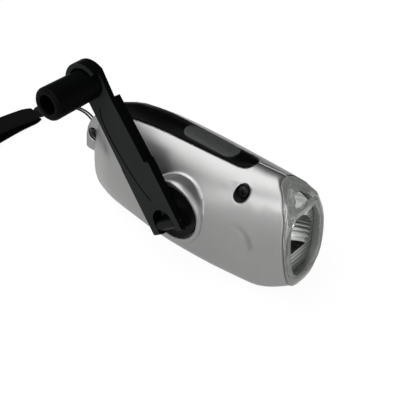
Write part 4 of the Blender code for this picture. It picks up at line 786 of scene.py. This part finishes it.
@dataclass
class Moulding:
    """A visible piece formed on its solid, with welded facets and softened edges."""

    node: str
    body: Body
    finish: Finish
    slot: str
    soften: float = 0.00018
    crease: float = math.radians(33)

    def build(self) -> None:
        """Form the piece over its solid, and hide the solid."""
        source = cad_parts[self.node].data
        bare = bpy.data.meshes.new(f"{self.node}_bare")
        bare.from_pydata([v.co[:] for v in source.vertices], [], [p.vertices[:] for p in source.polygons])
        shape = bmesh.new()
        shape.from_mesh(bare)
        bpy.data.meshes.remove(bare)
        bmesh.ops.remove_doubles(shape, verts=shape.verts, dist=WELD)
        bmesh.ops.dissolve_degenerate(shape, edges=shape.edges, dist=WELD)
        corners, edges = shape.verts, shape.edges
        bmesh.ops.dissolve_limit(shape, angle_limit=LEVEL, verts=corners, edges=edges, delimit=set())
        self.shape_up(shape)
        if self.soften:
            self.round_edges(shape)
        for edge in shape.edges:
            edge.smooth = not (edge.is_manifold and edge.calc_face_angle(0.0) > self.crease)
        for face in shape.faces:
            face.smooth = True
        mesh = bpy.data.meshes.new(f"{self.node}_look")
        shape.to_mesh(mesh)
        shape.free()
        piece = add_piece(f"{self.node}_look", mesh, self.finish, self.body)
        weighted = piece.modifiers.new("even_shading", "WEIGHTED_NORMAL")
        weighted.keep_sharp = True
        weighted.weight = 60
        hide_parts(self.node)

    def shape_up(self, shape: bmesh.types.BMesh) -> None:
        """Leave the solid's form as it is. Pieces with a finer form change it here."""

    def round_edges(self, shape: bmesh.types.BMesh) -> None:
        """Round the sharp edges by the softening radius."""
        sharp = [e for e in shape.edges if e.is_manifold and e.calc_face_angle(0.0) > SHARP]
        long_enough = [e for e in sharp if e.calc_length() > self.soften * 0.6]
        bmesh.ops.bevel(
            shape,
            geom=long_enough,
            offset=self.soften,
            offset_type="OFFSET",
            segments=2,
            profile=0.5,  # round
            affect="EDGES",
            clamp_overlap=True,
        )


@dataclass
class HubShell(Moulding):
    """The half shell with the crank's boss, whose wall is drawn in and runs down into the body.

    The wall and the foot are radii round the hub. The face, the foot and the sunk foot are places along y.
    """

    hub: Pair = (-0.0008, 0.0275)
    wall: float = 0.0149
    foot: float = 0.0170
    near: float = 0.0240
    face_y: float = -0.0223
    foot_y: float = -0.0190
    sunk_y: float = -0.0158
    draw_in: float = 0.30
    outward: float = 0.3
    upright: float = 0.65
    level: float = math.radians(2)

    def shape_up(self, shape: bmesh.types.BMesh) -> None:
        """Draw the boss's foot in, and sink it into the body where the body falls away."""
        around = [e for e in shape.edges if e.is_manifold and all(self.is_near(f) for f in e.link_faces)]
        bmesh.ops.dissolve_limit(shape, angle_limit=self.level, verts=[], edges=around, delimit=set())
        moved: list[tuple[bmesh.types.BMVert, Vector]] = []
        for vert in shape.verts:
            out = self.reach(vert.co)
            reach = out.length
            if not self.wall + TENTH < reach < self.foot + 2 * TENTH:
                continue
            if not self.face_y < vert.co.y < self.foot_y + 2 * TENTH:
                continue
            step = out.normalized() * ((self.wall + (reach - self.wall) * self.draw_in) - reach)
            place = vert.co + step
            beyond = [f for f in vert.link_faces if self.is_beyond(f, reach)]
            if beyond:
                normal = max(beyond, key=bmesh.types.BMFace.calc_area).normal
                place.y -= (normal.x * step.x + normal.z * step.z) / min(normal.y, -self.outward)
            elif reach > self.foot - 2 * TENTH and abs(vert.co.y - self.foot_y) < 2 * TENTH:
                place.y = self.sunk_y
            moved.append((vert, place))
        for vert, place in moved:
            vert.co = place
        shape.normal_update()
        log.info("%s: %d points of the boss's foot drawn in", self.node, len(moved))

    def reach(self, place: Vector) -> Vector:
        """Return the way from the hub's axis to a point."""
        return Vector((place.x - self.hub[0], 0, place.z - self.hub[1]))

    def is_near(self, face: bmesh.types.BMFace) -> bool:
        """Return whether a face of the body borders on the boss or nearly does."""
        return self.is_beyond(face, self.wall) and self.reach(face.calc_center_median()).length < self.near

    def is_beyond(self, face: bmesh.types.BMFace, reach: float) -> bool:
        """Return whether a face of the body's crank side goes on beyond the given distance from the hub."""
        farthest = max((self.reach(vert.co) for vert in face.verts), key=lambda way: way.length)
        wall = farthest.normalized().dot(face.normal) > self.upright
        goes_on = farthest.length > max(reach + 8 * TENTH, self.foot + 3 * TENTH)
        return goes_on and face.normal.y < -self.outward and not wall


def dress(node: str, finish: Finish) -> None:
    """Give a carried-over solid its finish."""
    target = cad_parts[node]
    for slot in target.material_slots:
        slot.material = finish.material()
    log.info("%s: finished as %s", node, finish.name)


# ---- Wrist strap ----


def blended(before: float, start: float, end: float, after: float, share: float) -> float:
    """Blend four neighbouring values with a cubic through the middle two."""
    slope_start = (end - before) / 2
    slope_end = (after - start) / 2
    square = share * share
    cube = square * share
    value = start * (2 * cube - 3 * square + 1) + slope_start * (cube - 2 * square + share)
    return value + end * (3 * square - 2 * cube) + slope_end * (cube - square)


def smooth_row(points: Sequence[Sequence[float]], steps: int) -> list[tuple[float, ...]]:
    """Fill in a row of points with a cubic through all of them.

    Args:
        points: The given points.
        steps: New points for each span.

    Returns:
        The finer row.
    """
    filled = []
    last = len(points) - 1
    for index in range(last):
        quad = (points[max(index - 1, 0)], points[index], points[index + 1], points[min(index + 2, last)])
        for step in range(steps):
            filled.append(tuple(blended(*values, step / steps) for values in zip(*quad)))
    filled.append(tuple(points[last]))
    return filled


def even_points(points: Iterable[Vector], count: int) -> list[Vector]:
    """Space a row of points evenly along its own length.

    Args:
        points: The row.
        count: Number of points wanted.

    Returns:
        The evenly spaced row.
    """
    line = [Vector(point) for point in points]
    lengths = [0.0]
    for start, end in zip(line, line[1:]):
        lengths.append(lengths[-1] + (end - start).length)
    spaced = []
    index = 0
    for step in range(count):
        target = lengths[-1] * step / (count - 1)
        while index < len(line) - 2 and lengths[index + 1] < target:
            index += 1
        span = lengths[index + 1] - lengths[index]
        spaced.append(line[index].lerp(line[index + 1], (target - lengths[index]) / span))
    return spaced


def heading_at(line: Sequence[Vector], index: int) -> Vector:
    """Return the direction that a row of points takes at one of them."""
    return (line[min(index + 1, len(line) - 1)] - line[max(index - 1, 0)]).normalized()


@dataclass
class Strap:
    """The doubled cord round the rear screw, its sleeve and the woven loop."""

    cord_radius: float = 0.0005
    cord_rings: int = 620
    cord_sides: int = 18
    spacing: float = 0.0008
    loop_radius: float = 0.0021
    loop_centre: Pair = (-0.0642, 0.0280)
    loop_half_turn: float = math.radians(100)
    loop_steps: int = 4
    strand_points: int = 23
    plies: int = 3
    ply_depth: float = 0.20
    lay: float = 0.0031
    sleeve_centre: Point = (-0.1226, 0.0195, 0.0027)
    sleeve_heading: float = math.radians(-104)
    sleeve_length: float = 0.0115
    sleeve_half_width: float = 0.0037
    sleeve_half_height: float = 0.0026
    sleeve_sides: int = 40
    sleeve_swell: tuple[Pair, ...] = (
        (-1.0, 0.62),
        (-0.985, 0.70),
        (-0.90, 0.86),
        (-0.72, 0.95),
        (-0.45, 1.0),
        (0.45, 1.0),
        (0.74, 0.97),
        (0.90, 0.91),
        (0.985, 0.80),
        (1.0, 0.72),
    )
    ribs: int = 5
    rib_depth: float = 0.045
    ribbed_share: float = 0.75
    fit: float = 0.0003
    band_half_width: float = 0.0060
    band_thickness: float = 0.0011
    band_gap: float = 0.0003
    band_rise: float = 0.0024
    band_rises: tuple[float, ...] = (1.00, 1.15, 1.55, 2.05, 2.30, 2.00)
    band_rows: int = 420
    band_columns: int = 36
    bend_steps: int = 8
    weave: tuple[int, int] = (4, 6)
    gather: float = 0.28
    gathered_share: float = 0.05
    selvedge_from: float = 0.86
    route: tuple[Point, ...] = (
        (-0.0706, 0.0000, 0.0273),
        (-0.0730, 0.0040, 0.0245),
        (-0.0748, 0.0082, 0.0180),
        (-0.0778, 0.0140, 0.0085),
        (-0.0835, 0.0212, 0.0022),
        (-0.0920, 0.0282, 0.0008),
        (-0.1030, 0.0330, 0.0007),
        (-0.1092, 0.0346, 0.0007),
        (-0.1146, 0.0342, 0.0008),
        (-0.1185, 0.0318, 0.0012),
        (-0.1203, 0.0290, 0.0020),
    )
    band_plan: tuple[Pair, ...] = (
        (-0.1241, 0.0137),
        (-0.1249, 0.0070),
        (-0.1253, -0.0020),
        (-0.1250, -0.0120),
        (-0.1246, -0.0260),
        (-0.1252, -0.0420),
    )

    def heading(self) -> Vector:
        """Return the sleeve's direction, away from the torch."""
        return Vector((math.cos(self.sleeve_heading), math.sin(self.sleeve_heading), 0))

    def cord_line(self) -> list[Vector]:
        """Lay the doubled cord from the sleeve, round the rear screw and back to the sleeve.

        Returns:
            The points of the cord's own line.
        """
        mouth = Vector(self.sleeve_centre) - self.heading() * (self.sleeve_length / 2 + self.fit)
        middle = [Vector(point) for point in smooth_row((*self.route, tuple(mouth)), 8)]
        near, far = [], []
        for index, point in enumerate(middle):
            ahead = heading_at(middle, index)
            aside = Vector((ahead.y, -ahead.x, 0)).normalized()
            near.append(point - aside * self.spacing)
            far.append(point + aside * self.spacing)
        loop = []
        for step in range(2 * self.loop_steps + 1):
            share = 1 - step / self.loop_steps
            angle = self.loop_half_turn * share
            x = self.loop_centre[0] + self.loop_radius * math.cos(angle)
            z = self.loop_centre[1] + self.loop_radius * math.sin(angle)
            loop.append(Vector((x, self.spacing * share, z)))
        return even_points(reversed(far), self.strand_points) + loop + even_points(near, self.strand_points)

    def ply(self, angle: float) -> float:
        """Return the share of the cord's radius that the plies reach, at an angle from one of them."""
        return 1 - self.ply_depth * (1 - abs(math.cos(self.plies * angle / 2)))

    def cord(self, with_pieces: list[bpy.types.Object]) -> None:
        """Args:
            with_pieces: The pieces meant to hang on the cord; not used.
        """
        line = self.cord_line()
        length = sum((b - a).length for a, b in zip(line, line[1:]))
        fine = even_points([Vector(p) for p in smooth_row([tuple(p) for p in line], 4)], self.cord_rings)
        rings = []
        side = Vector((0, 0, 1))
        travelled = 0.0
        for index, point in enumerate(fine):
            ahead = heading_at(fine, index)
            if index:
                travelled += (point - fine[index - 1]).length
            side = (side - ahead * side.dot(ahead)).normalized()
            across = side * self.cord_radius
            upward = ahead.cross(side) * self.cord_radius
            turn = math.tau * travelled / self.lay
            rings.append(ring(point, across, upward, self.cord_sides, lambda angle: self.ply(angle - turn)))
        piece = add_skin("strap_cord_twisted", rings, YARN)
        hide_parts("strap_cord")
        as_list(with_pieces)
        log.info("strap cord: %.1f mm along its line", length / MM)

    def sleeve(self) -> bpy.types.Object:
        """Mould the flattened sleeve with its grip ribs and drawn-in mouths.

        Returns:
            The sleeve.
        """
        heading = self.heading()
        aside = Vector((-heading.y, heading.x, 0)) * self.sleeve_half_width
        up = Vector((0, 0, self.sleeve_half_height))
        rings = []
        for place, size in smooth_row(self.sleeve_swell, 5):
            if abs(place) < self.ribbed_share:
                size -= self.rib_depth * max(0.0, math.cos(place * self.ribs * math.pi))
            centre = Vector(self.sleeve_centre) + heading * (place * self.sleeve_length / 2)
            rings.append(ring(centre, aside * size, up * size, self.sleeve_sides))
        piece = add_skin("strap_sleeve_ribbed", rings, SATIN_BLACK)
        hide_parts("strap_sleeve")
        return piece

    def band(self) -> None:
        """Weave the flattened loop of band beyond the sleeve."""
        plan = smooth_row(self.band_plan, 6)
        rises = smooth_row([(share,) for share in self.band_rises], 6)
        low = self.band_gap + self.band_thickness / 2
        lower = [Vector((x, y, low)) for x, y in plan]
        upper = [Vector((x, y, low + rise[0] * self.band_rise)) for (x, y), rise in zip(plan, rises)]
        ahead = (lower[-1] - lower[-2]).normalized()
        radius = (upper[-1].z - lower[-1].z) / 2
        bend = []
        for step in range(1, self.bend_steps):
            angle = math.pi * step / self.bend_steps - math.pi / 2
            place = lower[-1] + ahead * (radius * math.cos(angle))
            place.z = low + radius + radius * math.sin(angle)
            bend.append(place)
        line = even_points(lower + bend + list(reversed(upper)), self.band_rows)
        aside = Vector((-ahead.y, ahead.x, 0)).normalized()
        rings = []
        for index, point in enumerate(line):
            up = heading_at(line, index).cross(aside).normalized()
            free = min(index, len(line) - 1 - index) / len(line)
            drawn = 1 - self.gather * (1 - min(1.0, free / self.gathered_share)) ** 2
            rings.append(self.band_row(point, aside * drawn, up, index))
        piece = add_skin("strap_band_woven", rings, BAND)
        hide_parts("strap_webbing")

    def band_row(self, point: Vector, aside: Vector, up: Vector, row: int) -> list[Point]:
        """Weave one row of the band, with raised threads and thicker edges.

        Args:
            point: The row's middle.
            aside: Direction across the band, shortened where the band is gathered.
            up: Direction out of its upper face.
            row: The row's number.

        Returns:
            The points round the row.
        """
        warp, weft = self.weave
        points = []
        for face in (1, -1):
            for column in range(self.band_columns + 1):
                across = face * (2 * column / self.band_columns - 1)
                edge = max(0.0, 1 - abs(across) ** 14) ** 0.5
                thread = math.cos(column * math.tau / warp) * math.cos(row * math.tau / weft)
                selvedge = 0.12 * (abs(across) > self.selvedge_from)
                height = self.band_thickness / 2 * (0.35 + (0.50 + 0.15 * thread + selvedge) * edge)
                wide = across * self.band_half_width * 0.995
                points.append(tuple(point + aside * wide + up * (face * height)))
        return points

    def build(self) -> None:
        """Build the whole strap."""
        sleeve = self.sleeve()
        self.band()
        self.cord([sleeve])


# ---- Torch body, crank and works ----


@dataclass
class Housing:
    """The two half shells, the top trim, the button and the housing screws."""

    edge: float = 0.00022

    def build(self) -> None:
        """Build the housing's visible pieces."""
        HubShell("crank_side_shell", Body.TORCH, SILVER, "silver_paint", self.edge, math.radians(50)).build()
        Moulding("far_side_shell", Body.TORCH, SILVER, "silver_paint", self.edge).build()
        Moulding("top_grip", Body.TORCH, GLOSS_BLACK, "black_gloss", 0.0003).build()
        Moulding("switch_button", Body.BUTTON, GREY_RUBBER, "grey_rubber", 0.0004).build()
        for screw in ("shell_screw_front", "shell_screw_rear"):
            Moulding(screw, Body.TORCH, DARK_STEEL, "steel", 0.00008).build()


@dataclass
class Nose:
    """The clear cap, the bright bowls and the three lamps behind it."""

    die_radius: float = 0.00075
    die_depth: float = 0.0005
    die_inset: float = 0.0016
    die_profile: tuple[Pair, ...] = ((0.0, 0.55), (0.35, 0.95), (0.75, 1.0), (0.95, 0.70), (1.0, 0.12))
    die_sides: int = 16

    def build(self) -> None:
        """Build the nose."""
        Moulding("lens", Body.TORCH, CLEAR, "clear_plastic", 0.00030).build()
        Moulding("reflector", Body.TORCH, CHROME, "chrome", 0.00016, math.radians(38)).build()
        for lamp in ("led_upper", "led_middle", "led_lower"):
            Moulding(lamp, Body.TORCH, RESIN, "led_epoxy", 0.0, math.radians(50)).build()
            self.die(lamp)
        dress("led_board", BOARD)

    def die(self, lamp: str) -> None:
        """Set the phosphor cup inside a lamp."""
        low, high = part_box(lamp)
        centre = (low + high) / 2
        rings = []
        for depth, width in self.die_profile:
            centre.x = low.x + self.die_inset + depth * self.die_depth
            radius = self.die_radius * width
            rings.append(ring(centre, Vector((0, radius, 0)), Vector((0, 0, radius)), self.die_sides))
        add_skin(f"{lamp}_die", rings, PHOSPHOR)


@dataclass
class Crank:
    """The hub, the folding arm and the turning knob."""

    edge: float = 0.00025

    def build(self) -> None:
        """Build the crank's visible pieces."""
        Moulding("crank_hub", Body.CRANK, SATIN_BLACK, "black_plastic", self.edge).build()
        Moulding("crank_arm", Body.ARM, CRANK_BLACK, "black_plastic", self.edge).build()
        Moulding("crank_knob", Body.KNOB, KNOB_BLACK, "black_plastic", self.edge).build()
        Moulding("hinge_pin", Body.CRANK, DARK_STEEL, "steel", 0.00010).build()
        Moulding("knob_stud", Body.ARM, STEEL, "steel", 0.00008).build()
        Moulding("knob_screw", Body.ARM, DARK_STEEL, "steel", 0.00008).build()


@dataclass
class Works:
    """Everything inside the shells, finished on its own solids."""

    cells: int = 3
    plate_screws: int = 4
    shafts: tuple[str, ...] = ("crank_shaft", "rotor_shaft", "second_axle", "third_axle")
    pressed: tuple[str, ...] = ("stator_can", "retaining_clip")
    plates: tuple[str, ...] = ("gear_plate_outer", "gear_plate_inner")
    wheels: tuple[str, ...] = ("drive_gear", "second_gear", "third_gear")
    turned: tuple[str, ...] = ("shaft_bush", "rotor_pinion")

    def build(self) -> None:
        """Finish the works."""
        steel = [f"battery_cell_{number + 1}" for number in range(self.cells)]
        steel += [f"plate_screw_{number + 1}" for number in range(self.plate_screws)]
        steel += [*self.shafts, *self.pressed]
        for finish, nodes in ((STEEL, steel), (NYLON, self.plates + self.wheels), (BRASS, self.turned)):
            for node in nodes:
                dress(node, finish)
        dress("main_board", BOARD)
        dress("tact_switch", SATIN_BLACK)
        dress("coil", COPPER)
        dress("rotor_magnet", FERRITE)


# ---- Studio ----


@dataclass(frozen=True)
class Panel:
    """One soft lamp of the studio."""

    name: str
    place: Point
    size: Pair
    power: float

    def hang(self, aim: Point) -> None:
        """Hang the lamp so that it faces a point."""
        data = bpy.data.lights.new(self.name, "AREA")
        data.shape = "RECTANGLE"
        data.size, data.size_y = self.size
        data.energy = self.power
        lamp = stand(self.name, data)
        lamp.location = self.place
        lamp.rotation_mode = "QUATERNION"
        lamp.rotation_quaternion = (Vector(aim) - Vector(self.place)).to_track_quat("-Z", "Y")


@dataclass
class Studio:
    """The pale floor, the soft lamps and the camera.

    The shares of white in the floor and the room are those for camera, mirrored and refracted rays.
    """

    focal: float = 95.22
    camera_place: Point = (0.2163013, -0.2993897, 0.3057176)
    camera_turn: Point = (52.2433, -3.8377, 39.3939)
    floor_reach: float = 6.0
    floor_colour: Colour = (0.86, 0.86, 0.86)
    floor_glow: float = 1.06
    floor_white: Point = (0.88, 0.36, 0.36)
    room_white: Point = (1.0, 1.0, 0.6)
    white: Colour = (1.0, 1.0, 1.0)
    room_light: float = 0.40
    room_colour: Colour = (1.0, 0.99, 0.97)
    flag_colour: Colour = (0.9, 0.95, 1.0)
    flag_light: float = 0.02
    flag_share: float = 0.97
    flag: Point = (-0.60, -0.54, 0.59)
    beside_edge: Pair = (0.91, 0.965)
    behind_edge: Pair = (0.05, 0.45)
    aim: Point = (0, 0, 0.03)
    panels: tuple[Panel, ...] = (
        Panel("key_panel", (-0.42, -0.22, 0.95), (1.00, 0.62), 4.1),
        Panel("side_panel", (-0.04, -0.72, 0.52), (0.44, 0.34), 1.45),
        Panel("fill_panel", (0.95, -0.55, 0.45), (0.60, 0.60), 1.4),
    )

    def camera(self) -> None:
        """Stand the camera where the photograph was taken from."""
        data = bpy.data.cameras.new("camera")
        data.lens = self.focal
        data.sensor_width = 36.0
        data.sensor_fit = "HORIZONTAL"
        data.clip_start = 0.01
        data.clip_end = 50
        camera = stand("camera", data)
        camera.location = self.camera_place
        camera.rotation_euler = [math.radians(angle) for angle in self.camera_turn]
        bpy.context.scene.camera = camera

    def floor(self) -> None:
        """Lay the pale floor, which keeps the object's shadow."""
        reach = self.floor_reach
        mesh = bpy.data.meshes.new("floor")
        corners = [(-reach, -reach, 0), (reach, -reach, 0), (reach, reach, 0), (-reach, reach, 0)]
        mesh.from_pydata(corners, [], [(0, 1, 2, 3)])
        graph = Graph("pale_floor")
        soft = graph.node("ShaderNodeBsdfDiffuse", None, {"Color": self.floor_colour})
        glow = graph.node("ShaderNodeEmission", None, {"Color": self.white, "Strength": self.floor_glow})
        mixed = graph.node("ShaderNodeMixShader", None, {0: graph.seen(*self.floor_white), 1: soft, 2: glow})
        graph.node("ShaderNodeOutputMaterial", None, {"Surface": mixed})
        mesh.materials.append(graph.material)
        stand("floor", mesh)

    def world(self) -> None:
        """Fill the room with soft light, white where it is seen, with dark flags for mirrored rays."""
        graph = Graph("room", of_world=True)
        bpy.context.scene.world = graph.material
        toward = graph.node("ShaderNodeTexCoord", out="Generated")
        beside = graph.vector("DOT_PRODUCT", toward, self.flag, out="Value").ramp(*self.beside_edge)
        behind = graph.vector("DOT_PRODUCT", toward, (0, 1, 0), out="Value").ramp(*self.behind_edge)
        flagged = beside.most(behind) * self.flag_share * graph.ray(Ray.MIRRORED)
        lights = ((self.room_colour, self.room_light), (self.white, 1.0), (self.flag_colour, self.flag_light))
        dim, white, dark = (
            graph.node("ShaderNodeBackground", None, {"Color": colour, "Strength": strength})
            for colour, strength in lights
        )
        around = graph.node("ShaderNodeMixShader", None, {0: graph.seen(*self.room_white), 1: dim, 2: white})
        mixed = graph.node("ShaderNodeMixShader", None, {0: flagged, 1: around, 2: dark})
        graph.node("ShaderNodeOutputWorld", None, {"Surface": mixed})

    def build(self) -> None:
        """Set up the studio."""
        self.camera()
        self.floor()
        self.world()
        for panel in self.panels:
            panel.hang(self.aim)
        bpy.context.scene.view_settings.view_transform = "Standard"
        log.info("studio: camera, floor and lamps are set")


def main() -> None:
    """Build the dressed flashlight in its order."""
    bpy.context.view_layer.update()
    Studio().build()
    Strap().build()
    Housing().build()
    Nose().build()
    Crank().build()
    Works().build()


if __name__ == "__main__":
    main()
